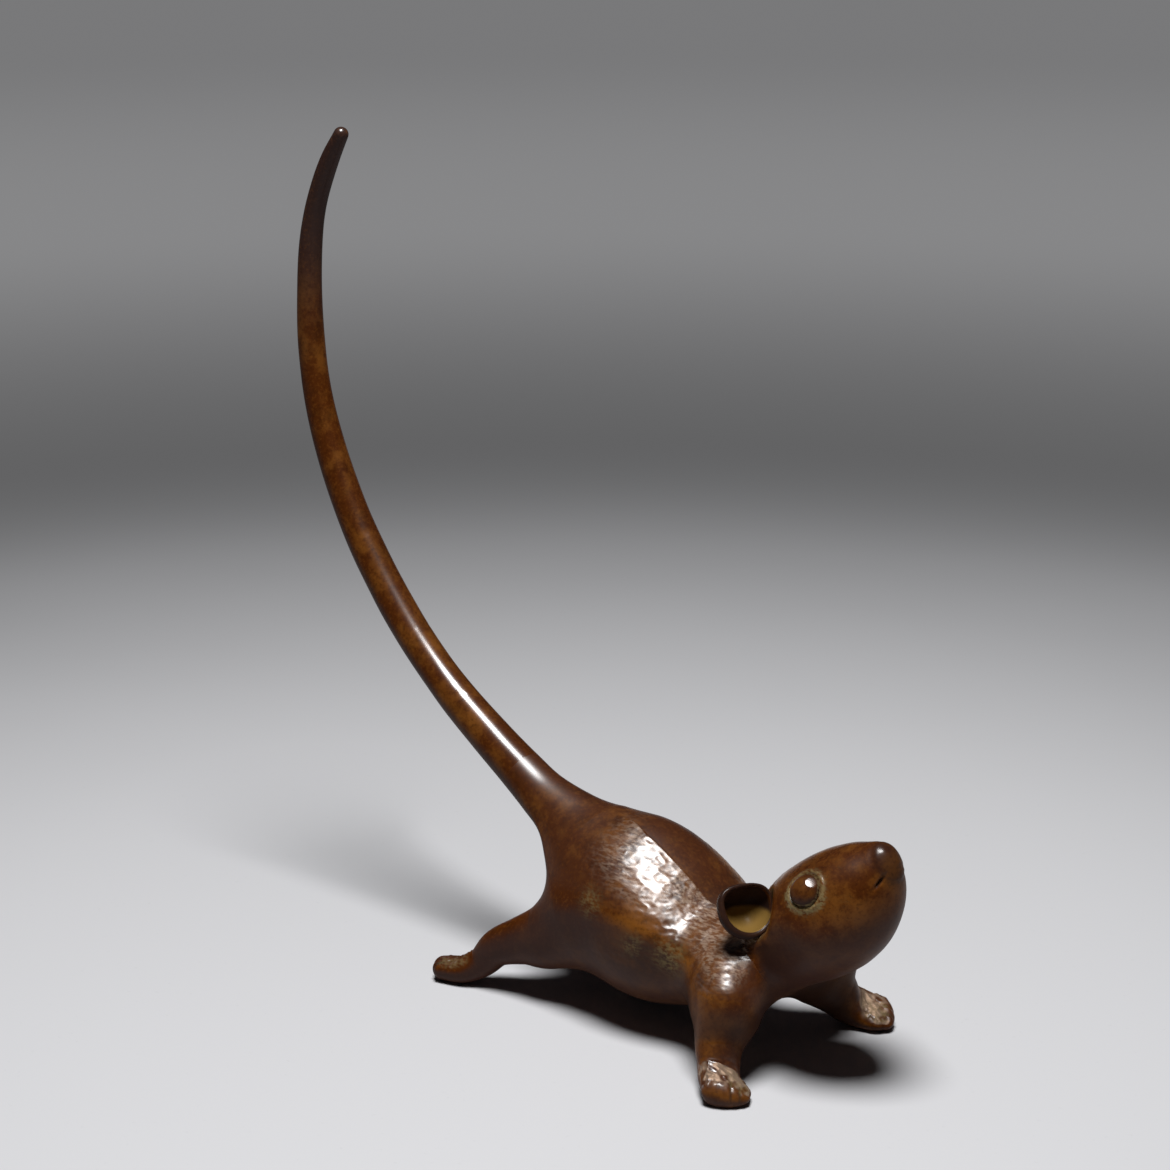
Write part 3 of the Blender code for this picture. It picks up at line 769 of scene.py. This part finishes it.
def head_skin(shape):
    """The head's grid and masks: spine ovals to the nose's dome, seats for ears and eyes, and slit nostrils."""
    tip = SPINE.length
    nose = tip + NOSE_ROUNDING * np.linspace(0.03, 0.985, 30)
    s = np.concatenate([np.linspace(NECK_SEAM - OVERLAP, tip, 165), nose])
    points = SPINE.skin(s, turns(HEAD_RING))
    points = flow_out(points, grid_normals(points), shape)
    points, crease = ear_seat(points, grid_normals(points), mm(shape.ear_wall))
    normals = grid_normals(points)
    place = right_side(points)
    offset = place - EYE_CENTRE
    past_eye = size_of(offset - (offset @ EYE_NORMAL)[..., None] * EYE_NORMAL) - EYE_SHOWN * EYE_RADIUS
    past_eye = np.where(size_of(offset) < 2.5 * EYE_RADIUS, past_eye, np.inf)
    ring = mm(shape.eye_ring) * bell(past_eye - 0.5, 0.32)
    groove = 0.10 * bell(past_eye - 0.02, 0.2)
    offset = place - NOSTRIL
    lean = unit(np.array(NOSTRIL_RUN))
    run = offset @ lean
    side = size_of(offset - run[..., None] * lean)
    slit = mm(shape.nostril_depth) * bell(side, 0.3) * bell(run, 1.1)
    pad = ease(s, tip - 0.4, tip + 0.5)[:, None]
    edge_of_pad = bell(s - tip + 0.3, 0.4)[:, None] * ease(normals[..., 2], -0.5, 0.2)
    chase = chase_share(points)
    lift = ring - groove - slit + 0.05 * noise(points, 6.0, 31) + 0.025 * noise(points, 2.2, 32)
    lift += 0.8 * bell(size_of(points - NOSE_BRIDGE), 2.6)
    lift += pad * (0.05 * noise(points, 0.9, 33) + 0.02) - 0.05 * edge_of_pad
    lift += mm(shape.chase_depth) * chase * chasing(points)
    points = lifted(points, normals, lift)
    masks = skin_masks(points, normals, chase)
    below = 0.55 + 0.45 * ease(EYE_CENTRE[2] - points[..., 2], -1.5, 2.0)
    about_eye = 1.3 * below * bell(past_eye - 0.4, 0.9)
    masks["dust"] = np.clip(about_eye + 0.6 * crease + dust_share(points), 0.0, 1.0)
    # Painted shade in the nostril slit, and the last of the snout painted darker towards the nose's tip
    darker_nose_tip = ease(s, tip - 1.6, tip + 0.4)[:, None]
    masks["hollow"] = np.maximum(bell(side, 0.35) * bell(run, 1.2), 0.6 * darker_nose_tip)
    return sink_ends(s, points, normals, NECK_SEAM, s[-1]), masks


def tail_skin():
    """The tail's grid and masks: rings along the spine from a domed tip, with faint dents and small pits."""
    dome = -TAIL_TIP_RADIUS * np.linspace(0.97, 0.05, 14)
    s = np.concatenate([dome, np.linspace(0.0, TAIL_SEAM + OVERLAP, 360)])
    points = SPINE.skin(s, turns(TAIL_RING))
    normals = grid_normals(points)
    pitted = ease(s, *PITS_START) * (1 - ease(s, *PITS_END))
    pits = ease(noise(points, 1.3, 41), 0.62, 0.9) * pitted[:, None]
    points = lifted(points, normals, swell(points) - 0.06 * pits)
    masks = skin_masks(points, normals, chase_share(points))
    masks["dust"] = 0.3 * pits
    return sink_ends(s, points, normals, s[0], TAIL_SEAM), masks


def leg_skin(kind, shape, top_start):
    """A right leg's grid and masks: ovals flowing into the torso, a flat sole, toes and a rough top to the paw."""
    leg, fore = LEGS[kind], kind == "foreleg"
    _, wear_and_sheen, shallow = PAWS[kind]
    width = mm(shape.fore_blend if fore else shape.hind_blend)
    half = LEG_SIZES[kind][-1] / 2
    root = -leg.start_dome[0] * np.linspace(0.97, 0.03, 45)
    tips = leg.length + TOE_LENGTH * np.linspace(0.06, 0.985, 22)
    s = np.concatenate([root, np.linspace(0.0, leg.length, 190), tips])
    v = turns(LEG_RING)
    oval = leg.skin(s, v)
    axis = leg.spine_points(np.maximum(s, 0.0))[:, None]
    rays = unit(oval - axis)
    radius = size_of(oval - axis)
    near = SPINE.distance(oval) < width + 0.5
    base = np.broadcast_to(axis, oval.shape)[near]
    out, bare = rays[near], radius[near]

    def parts(t):
        place = base + out * t[:, None]
        return SPINE.distance(place), legs_distance(kind, place)

    def stretch(first, last):
        return ease(s / leg.length, first, last)[:, None]

    reach = settle(lambda t: join(*parts(t), width), 0.4 * bare, bare + width, 10, 8)
    torso, own = parts(reach)
    margin = own - torso
    radius[near] = reach + (0.85 * bare - reach) * ease(margin, 0.4, 1.8) - 0.02 * ease(margin, 0.0, 0.5)
    points = lifted(axis, rays, radius)
    normals = grid_normals(points)
    upward = normals[..., 2]
    share = np.clip(leg.to_plane(points)[..., 1] / half, -1.0, 1.0)
    paw = stretch(0.64, 0.86)
    toes = ease(s, 0.93 * leg.length, leg.length + 0.3)[:, None] * ease(upward, -0.6, 0.1)
    top = ease(upward, 0.2, 0.7) * stretch(top_start, top_start + 0.06)
    top *= 1 - ease(s, 0.98 * leg.length, leg.length + 0.9)[:, None]
    grooves = toes * sum(deep * bell((share - place) * half, 0.28) for place, deep in TOE_GROOVES)
    wrist = bell(s - 0.73 * leg.length, 0.35)[:, None] * ease(np.sin(v), 0.1, 0.8)
    chase = chase_share(points)
    crumple = 0.3 - np.abs(noise(points, 1.5, 51)) + 0.6 * (0.3 - np.abs(noise(points, 0.75, 52)))
    lift = -mm(shape.toe_groove) * shallow * grooves - 0.04 * wrist + 0.3 * top * crumple
    lift += mm(shape.chase_depth) * chase * chasing(points) + swell(points) * (1 - paw)
    points = lifted(points, normals, lift)
    if fore:
        aside = WRIST_SHIFT * stretch(0.42, 0.66) * (1 - stretch(0.76, 0.95))
        points[..., :2] -= aside[..., None] * np.array((-leg.sin, leg.cos))
        points[..., 2] *= 1 - shape.paw_tilt * share * paw
    soft = 0.45
    z = points[..., 2]
    points[..., 2] = np.where(z > soft, z, np.where(z < -soft, 0.0, (z + soft) ** 2 / (4 * soft)))
    masks = skin_masks(points, normals, chase)
    # The paw's up-facing top is rubbed lighter: partly rubbing, partly a painted sheen where the light falls on it
    masks["edge"] = wear_and_sheen * top * (0.5 + 0.5 * noise(points, 1.1, 53))
    # Painted shade: the front legs darker low down on their inner side, towards the chest, and darker in the toe
    # grooves; the hind paws a little darker
    inner = ease(share, -0.2, 0.6) * (1 - ease(points[..., 2], 9.0, 15.0)) * (1 - paw) if fore else 0.5 * paw
    masks["hollow"] = np.maximum(0.6 * grooves, 0.55 * inner * (1 - top))
    masks["dust"] = np.clip(0.55 * top * ease(share, -0.5, 0.4) + 0.4 * grooves + dust_share(points), 0.0, 1.0)
    return points, masks


def turned_skin(centre, axis, radius, height):
    """Rings about an axis: radius times a unit circle across it, and height along it, each a grid of rows and rings."""
    first, second = frame_about(axis)
    v = turns(radius.shape[1])
    circle = np.cos(v)[:, None] * first + np.sin(v)[:, None] * second
    return centre + radius[..., None] * circle + height[..., None] * axis


def ear_skin(shape):
    """The right ear's grid and masks: a bowl's outside, a rounded lip and its inside, thickest low and to the rear."""
    v = turns(EAR_RING)
    rim = ear_outline(v)
    wall = mm(shape.ear_wall) * (1 - 0.45 * np.cos(v - math.radians(50.0)))
    turn = np.linspace(0.04, math.pi / 2, 60)[:, None]
    lip_turn = np.linspace(0.0, math.pi, 24)[1:-1, None]
    outside = rim * np.sin(turn), -EAR_DEPTH * np.cos(turn) + 0 * v
    lip = rim - wall / 2 + wall / 2 * np.cos(lip_turn), wall / 2 * np.sin(lip_turn)
    inside = ((rim - wall) * np.sin(turn))[::-1], ((mm(shape.ear_wall) - EAR_DEPTH) * np.cos(turn) + 0 * v)[::-1]
    radius, height = (np.concatenate(parts) for parts in zip(outside, lip, inside))
    points = turned_skin(EAR_CENTRE, EAR_AXIS, radius, height)
    inner = (np.arange(len(radius)) >= len(turn) + len(lip_turn) - 4)[:, None] * np.ones(len(v))
    normals = grid_normals(points) * np.where(inner, -1.0, 1.0)[..., None]
    points = lifted(points, normals, 0.06 * noise(points, 2.6, 61) + 0.02 * noise(points, 1.0, 62))
    low = ease(EAR_CENTRE[2] - points[..., 2], 0.1, 2.0)
    masks = {
        # Painted shade: the upper inside of the cup below its rim, and all of its outside
        "hollow": np.maximum(inner * (1 - low) * ease(-height, -0.1, 1.0), 0.8 * (1 - inner)),
        # The lip rubbed lighter low down, most on its inner side: partly rubbing, partly a painted highlight
        "edge": bell(height - wall / 2, 0.4) * low * (0.4 + 0.6 * inner),
        "dust": 0.35 * (1 - inner) * ease(-height, 0.3, 2.5),
        # Painted light: yellower metal only on the lower inside, where light falls into the cup
        "lining_painted_light": inner * low,
        "tilt": tilt_of(normals),
    }
    return points, masks


def eye_skin():
    """The right eye's grid and masks: a dome raised on the head's own curve, whose side goes down into its groove."""
    turn = np.linspace(0.04, math.pi / 2, 60)
    radius = np.concatenate([np.sin(turn), np.full(8, 1.0)]) * EYE_SHOWN * EYE_RADIUS
    height = np.concatenate([EYE_SHOWN * EYE_DOME * np.cos(turn), np.linspace(-0.1, -0.8, 8)])
    wide = np.repeat(radius[:, None], EYE_RING, axis=1)
    flat = turned_skin(EYE_CENTRE, EYE_NORMAL, wide, 0 * wide)
    limits = np.full(wide.shape, 3.0)
    level = settle(lambda t: SPINE.distance(flat + t[..., None] * EYE_NORMAL), -limits, limits, 14)
    points = flat + (level + height[:, None])[..., None] * EYE_NORMAL
    out = (points - EYE_CENTRE) @ EYE_FLAT
    over = np.maximum(out - out.max() + EYE_FLAT_DEPTH, 0.0)
    points = points - (0.85 * over**2 / (over + 0.05))[..., None] * EYE_FLAT
    rim = ease(wide, 0.82 * radius[-1], radius[-1])
    tilt = tilt_of(grid_normals(points))
    # The dome painted a darker brown, darker still at its foot by the groove, where this is painted shade
    return points, {"hollow": 0.35 + 0.3 * rim, "dust": 0.6 * ease(rim, 0.6, 1.0), "tilt": tilt}


class Wire:
    """A shader socket in an expression: arithmetic on it adds Math nodes."""

    def __init__(self, graph, socket):
        self.graph, self.socket = graph, socket

    def __add__(self, other):
        return self.graph.math("ADD", self, other)

    def __sub__(self, other):
        return self.graph.math("SUBTRACT", self, other)

    def __rsub__(self, other):
        return self.graph.math("SUBTRACT", other, self)

    def __mul__(self, other):
        return self.graph.math("MULTIPLY", self, other)

    __radd__ = __add__
    __rmul__ = __mul__


class Graph:
    """The nodes of one material."""

    def __init__(self, name):
        self.material = bpy.data.materials.new(name)
        self.material.use_nodes = True
        self.tree = self.material.node_tree
        self.tree.nodes.clear()

    def node(self, kind, settings, sockets, output=0):
        """Adds a node of a type: its settings first, then the values or links of its sockets."""
        made = self.tree.nodes.new(kind)
        for name, value in settings.items():
            setattr(made, name, value)
        for key, value in sockets.items():
            if isinstance(value, Wire):
                self.tree.links.new(value.socket, made.inputs[key])
            else:
                made.inputs[key].default_value = value
        return Wire(self, made.outputs[output]) if made.outputs else None

    def math(self, operation, a, b):
        return self.node("ShaderNodeMath", {"operation": operation}, {0: a, 1: b})

    def ramp(self, value, low, high):
        """A smooth step of a value: 0 below low and 1 above high."""
        settings = {"interpolation_type": "SMOOTHSTEP"}
        return self.node("ShaderNodeMapRange", settings, {0: value, 1: low, 2: high})

    def mix(self, factor, a, b):
        """A colour between two, by a factor."""
        pair = [(*c, 1.0) if isinstance(c, tuple) else c for c in (a, b)]
        return self.node("ShaderNodeMix", {"data_type": "RGBA"}, {0: factor, 6: pair[0], 7: pair[1]}, 2)

    def mask(self, name):
        """A value that the piece's mesh carries at its points."""
        return self.node("ShaderNodeAttribute", {"attribute_name": name}, {}, 2)

    def place(self, turn=(0.0, 0.0, 0.0), scale=(1.0, 1.0, 1.0)):
        """Object coordinates, turned and then stretched."""
        where = self.node("ShaderNodeTexCoord", {}, {}, 3)
        return self.node("ShaderNodeMapping", {}, {"Vector": where, "Rotation": turn, "Scale": scale})

    def noise(self, where, scale, detail, rough):
        sockets = {"Vector": where, "Scale": scale, "Detail": detail, "Roughness": rough}
        return self.node("ShaderNodeTexNoise", {}, sockets)

    def shade(self, constants, **sockets):
        """A Principled surface on the material's output, its fixed numbers set on its own sockets."""
        surface = self.node("ShaderNodeBsdfPrincipled", {}, {**constants, **sockets})
        self.node("ShaderNodeOutputMaterial", {}, {"Surface": surface})
        return self.material


def bronze(name, colours, gloss, lined):
    """Brown patinated bronze: mottled patina under wax, smoke-dark tip, rubbed edges that are partly a painted sheen,
    painted shade below and in hollows, painted light inside the ears, dusty hollows and chased strokes.
    """
    graph = Graph(name)
    where = graph.place()
    along, height = (graph.node("ShaderNodeSeparateXYZ", {}, {0: where}, axis) for axis in (0, 2))
    hollow, edge, chase, dusty, tilt = (graph.mask(m) for m in ("hollow", "edge", "chase", "dust", "tilt"))
    broad = graph.noise(where, 75.0, 3.0, 0.6)
    cloud = graph.noise(graph.place((0.4, 0.7, 0.2)), 150.0, 4.0, 0.65)
    spots = graph.noise(where, 420.0, 4.0, 0.65)
    grain = graph.noise(where, 1900.0, 3.0, 0.6)
    strokes = graph.noise(graph.place((0.0, math.radians(38.0), 0.0), (700.0, 1900.0, 2600.0)), 1.0, 3.0, 0.6)
    tones = (colours.patina, colours.patina_light, colours.dark_patina_and_shade, colours.rubbed, colours.dust)
    patina, light, dark, rubbed, dust = (tuple(tone) for tone in tones)
    # black, half the dark patina, is the tone of the painted shade from the hollow mask
    deep, black = tuple(c * 0.4 for c in patina), tuple(c * 0.5 for c in dark)
    rump = graph.ramp(along, -0.022, -0.012) * (1.0 - graph.ramp(along, 0.014, 0.03))
    # Painted shade: darker where the skin faces down and, through the tilt mask, on the lower haunches
    below = graph.ramp(tilt + chase * 0.06 + (spots - 0.5) * 0.15, 0.43, 0.66)
    side = graph.ramp(tilt, 0.18, 0.4)
    # Rubbed bronze on the chased strokes, kept to up-facing skin where the sheen falls: partly rubbing, partly a
    # painted sheen
    bare = graph.ramp(strokes, 0.42, 0.64) * chase * (1.0 - graph.ramp(tilt, 0.1, 0.27)) * 0.6
    # Rubbed bronze on the paws' tops and the ears' lower lips: partly rubbing, partly a painted sheen
    worn_and_sheen = graph.ramp(edge * (0.6 + spots * 0.8), 0.4, 1.0) * 0.8
    film = graph.ramp(strokes * 0.5 + grain * 0.5 + dusty * 0.11, 0.46, 0.66) * graph.ramp(dusty, 0.15, 0.75)
    # Each coat's share over the coats before it, and its colour
    coats = [
        (graph.ramp(broad * 0.6 + spots * 0.4 + chase * 0.08 - rump * 0.055, 0.43, 0.64), light),
        (graph.ramp(cloud, 0.5, 0.64) * (0.4 + chase * 0.3), deep),
        (graph.ramp(height + broad * 0.012, 0.103, 0.122) * 0.85, dark),
        (graph.ramp(spots, 0.56, 0.72) * 0.4, deep),
        (graph.ramp(grain, 0.52, 0.66) * 0.35, deep),
        ((1.0 - graph.ramp(grain, 0.34, 0.46)) * 0.25, light),
        # Rubbed bronze, partly a painted sheen: on the chased flanks' tops, then on the paws' tops and the ears' lower
        # lips
        (bare, rubbed),
        (worn_and_sheen, rubbed),
        # Painted shade on down-facing skin and the lower haunches
        (below * 0.75, dark),
        # Painted shade from the hollow mask: creases, the ears' upper insides and outsides, the front legs' inner
        # sides; also a darker eye and nose tip
        (graph.ramp(hollow, 0.1, 0.9) * 0.85, black),
        (film * (0.2 + dusty * 0.65), dust),
    ]
    # Painted light: yellower metal on the lower inside of the ears
    if lined:
        coats.append((graph.ramp(graph.mask("lining_painted_light") + spots * 0.3, 0.3, 0.9), tuple(colours.lining_painted_light)))
    colour = patina
    for share, tone in coats:
        colour = graph.mix(share, colour, tone)
    rough = 0.36 + worn_and_sheen * 0.25 + spots * 0.08 + chase * (1.0 - side) * 0.18 + film * 0.2 + grain * 0.05
    metal = bare * 0.7 + worn_and_sheen * 0.9
    wax = (0.9 - film * 0.7 - worn_and_sheen * 1.3) * (1.0 - side * 0.97) * (1.0 - graph.ramp(hollow, 0.2, 0.9) * 0.9)
    relief = grain * 0.25 + spots * 0.2 + strokes * chase * (1.3 - side) + film * grain * 0.8
    bump = graph.node("ShaderNodeBump", {}, {"Strength": 0.35, "Distance": 0.00012, "Height": relief})
    constants = {"Coat Roughness": gloss[0], "Coat IOR": gloss[1], "IOR": 1.13}
    sockets = {"Base Color": colour, "Metallic": metal, "Roughness": rough, "Coat Weight": wax, "Normal": bump}
    return graph.shade(constants, **sockets)


def finish_for(slot, colours):
    """The figure's bronze, made once for each slot."""
    name = f"patina_on_{slot}"
    return bpy.data.materials.get(name) or bronze(name, colours, WAX[slot], slot == "bronze_rubbed")


def lay(context, name, skin, node, slot):
    """Makes a piece of a grid and its masks, gives it its finish and puts it in a CAD node's place."""
    piece = put_mesh(name, *skin)
    piece.data.materials.append(finish_for(slot, context.scene.mouse_colours))
    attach(piece, "root")
    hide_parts(node)


class BuildTail(bpy.types.Operator):
    """Builds the tail from its tip to the rump"""

    bl_idname = "mouse.tail"
    bl_label = "Tail"

    def execute(self, context):
        lay(context, "tail_skin", tail_skin(), "tail", "bronze_polished")
        return {"FINISHED"}


class BuildTorso(bpy.types.Operator):
    """Builds the torso with its chased flanks"""

    bl_idname = "mouse.torso"
    bl_label = "Torso"

    def execute(self, context):
        lay(context, "torso_skin", torso_skin(context.scene.mouse_shape), "body", "bronze_chased")
        return {"FINISHED"}


class BuildHead(bpy.types.Operator):
    """Builds the head with its snout"""

    bl_idname = "mouse.head"
    bl_label = "Head"

    def execute(self, context):
        lay(context, "head_skin", head_skin(context.scene.mouse_shape), "head", "bronze_polished")
        return {"FINISHED"}


class BuildLegs(bpy.types.Operator):
    """Builds the four legs with their paws"""

    bl_idname = "mouse.legs"
    bl_label = "Legs"

    def execute(self, context):
        for kind, (top_starts, *_) in PAWS.items():
            for side, top_start in zip(("right", "left"), top_starts):
                points, masks = leg_skin(kind, context.scene.mouse_shape, top_start)
                skin = points if side == "right" else mirrored(points)
                lay(context, f"{kind}_{side}_skin", (skin, masks), f"{kind}_{side}", "bronze_brown")
        return {"FINISHED"}


class BuildEars(bpy.types.Operator):
    """Builds the two ear cups"""

    bl_idname = "mouse.ears"
    bl_label = "Ears"

    def execute(self, context):
        points, masks = ear_skin(context.scene.mouse_shape)
        for side, skin in (("right", points), ("left", mirrored(points - EAR_SHIFT))):
            lay(context, f"ear_{side}_cup", (skin, masks), f"ear_{side}", "bronze_rubbed")
        return {"FINISHED"}


class BuildEyes(bpy.types.Operator):
    """Builds the two domed eyes"""

    bl_idname = "mouse.eyes"
    bl_label = "Eyes"

    def execute(self, context):
        points, masks = eye_skin()
        for side, skin in (("right", points), ("left", mirrored(points))):
            lay(context, f"eye_{side}_dome", (skin, masks), f"eye_{side}", "bronze_bright")
        return {"FINISHED"}


def table_finish(colour):
    """A pale, matt table that darkens outwards, and beyond it a dim glow that only the camera and reflections meet."""
    graph = Graph("table_top")
    where = graph.place()
    out = graph.node("ShaderNodeVectorMath", {"operation": "LENGTH"}, {0: where}, 1)
    cloud = graph.noise(where, 9.0, 3.0, 0.5)
    speck = graph.noise(where, 900.0, 2.0, 0.5)
    shade = graph.ramp(out + cloud * 0.03, 0.10, 0.36) * 0.56
    tone = graph.mix(shade, tuple(colour), tuple(c * 0.25 for c in colour))
    tone = graph.mix(graph.ramp(speck, 0.66, 0.75) * 0.08, tone, tuple(c * 0.6 for c in colour))
    matt = {"Roughness": 0.55, "Specular IOR Level": 0.2, "Base Color": tone}
    near = graph.node("ShaderNodeBsdfPrincipled", {}, matt)
    glow = 0.12 + graph.ramp(out, 0.34, 0.82) * 0.12 - graph.ramp(out, 0.85, 1.7) * 0.05
    pale = graph.mix(glow, (0.0, 0.0, 0.0), (1.0, 1.0, 1.02))
    far = graph.node("ShaderNodeEmission", {}, {"Color": pale, "Strength": 1.0})
    rays = ("Is Camera Ray", "Is Glossy Ray", "Is Transmission Ray")
    camera, glossy, through = (graph.node("ShaderNodeLightPath", {}, {}, ray) for ray in rays)
    shown = graph.ramp(out, 0.26, 0.40) * graph.math("MINIMUM", camera + glossy + through, 1.0)
    surface = graph.node("ShaderNodeMixShader", {}, {0: shown, 1: near, 2: far})
    graph.node("ShaderNodeOutputMaterial", {}, {"Surface": surface})
    return graph.material


def table_top(colour):
    """A wide round table: rings whose radius grows by a fixed ratio."""
    radius = 0.01 * 1.12 ** np.arange(56)[:, None]
    v = turns(96)
    ring = np.stack([radius * np.cos(v), radius * np.sin(v), 0 * radius * v], axis=-1)
    corner = np.arange(ring[..., 0].size).reshape(len(radius), len(v))
    after = np.roll(corner, -1, axis=1)
    quads = np.stack([corner[:-1], corner[1:], after[1:], after[:-1]], axis=-1).reshape(-1, 4)
    mesh = bpy.data.meshes.new("table_top")
    mesh.from_pydata(ring.reshape(-1, 3).tolist(), [], quads.tolist() + [corner[0].tolist()])
    mesh.materials.append(table_finish(colour))
    top = bpy.data.objects.new("table_top", mesh)
    bpy.context.scene.collection.objects.link(top)


class BuildStage(bpy.types.Operator):
    """Builds the table, the lamp, the surroundings and the camera"""

    bl_idname = "mouse.stage"
    bl_label = "Stage"

    def execute(self, context):
        scene, stage, colours = context.scene, context.scene.mouse_stage, context.scene.mouse_colours
        table_top(colours.floor)
        light = bpy.data.lights.new("lamp", "AREA")
        light.shape, light.size = "DISK", stage.lamp_width
        light.energy = stage.lamp_power
        lamp = bpy.data.objects.new("lamp", light)
        lamp.location = stage.lamp_place
        lamp.visible_camera = False
        scene.collection.objects.link(lamp)
        scene.world = bpy.data.worlds.new("surroundings")
        scene.world.use_nodes = True
        background = scene.world.node_tree.nodes["Background"]
        background.inputs["Color"].default_value = (*colours.around, 1.0)
        background.inputs["Strength"].default_value = stage.ambient
        lens = bpy.data.cameras.new("camera")
        lens.sensor_fit, lens.angle = "HORIZONTAL", stage.field
        camera = bpy.data.objects.new("camera", lens)
        level = math.cos(stage.elevation)
        back = np.array((level * math.sin(stage.azimuth), -level * math.cos(stage.azimuth), math.sin(stage.elevation)))
        camera.location = np.array(stage.target) + back * stage.distance
        camera.rotation_euler = (math.pi / 2 - stage.elevation, 0.0, stage.azimuth)
        scene.collection.objects.link(camera)
        scene.camera = camera
        scene.view_settings.view_transform = "Standard"
        return {"FINISHED"}


OPERATORS = (BuildTail, BuildTorso, BuildHead, BuildLegs, BuildEars, BuildEyes, BuildStage)


class MousePanel(bpy.types.Panel):
    """Lists the pieces of the mouse and its settings"""

    bl_idname = "VIEW3D_PT_mouse"
    bl_label = "Bronze mouse"
    bl_space_type = "VIEW_3D"
    bl_region_type = "UI"
    bl_category = "Bronze mouse"

    def draw(self, context):
        for operator in OPERATORS:
            self.layout.operator(operator.bl_idname)
        for name, group in SETTINGS:
            for prop in group.__annotations__:
                self.layout.prop(getattr(context.scene, name), prop)


SETTINGS = (("mouse_shape", ShapeSettings), ("mouse_colours", ColourSettings), ("mouse_stage", StageSettings))
CLASSES = (ShapeSettings, ColourSettings, StageSettings, *OPERATORS, MousePanel)


def register():
    for cls in CLASSES:
        bpy.utils.register_class(cls)
    for name, group in SETTINGS:
        setattr(bpy.types.Scene, name, bpy.props.PointerProperty(type=group))


def unregister():
    for name, _ in SETTINGS:
        delattr(bpy.types.Scene, name)
    for cls in reversed(CLASSES):
        bpy.utils.unregister_class(cls)


def main():
    register()
    bpy.ops.mouse.tail()
    bpy.ops.mouse.torso()
    bpy.ops.mouse.head()
    bpy.ops.mouse.legs()
    bpy.ops.mouse.ears()
    bpy.ops.mouse.eyes()
    bpy.ops.mouse.stage()


if __name__ == "__main__":
    main()
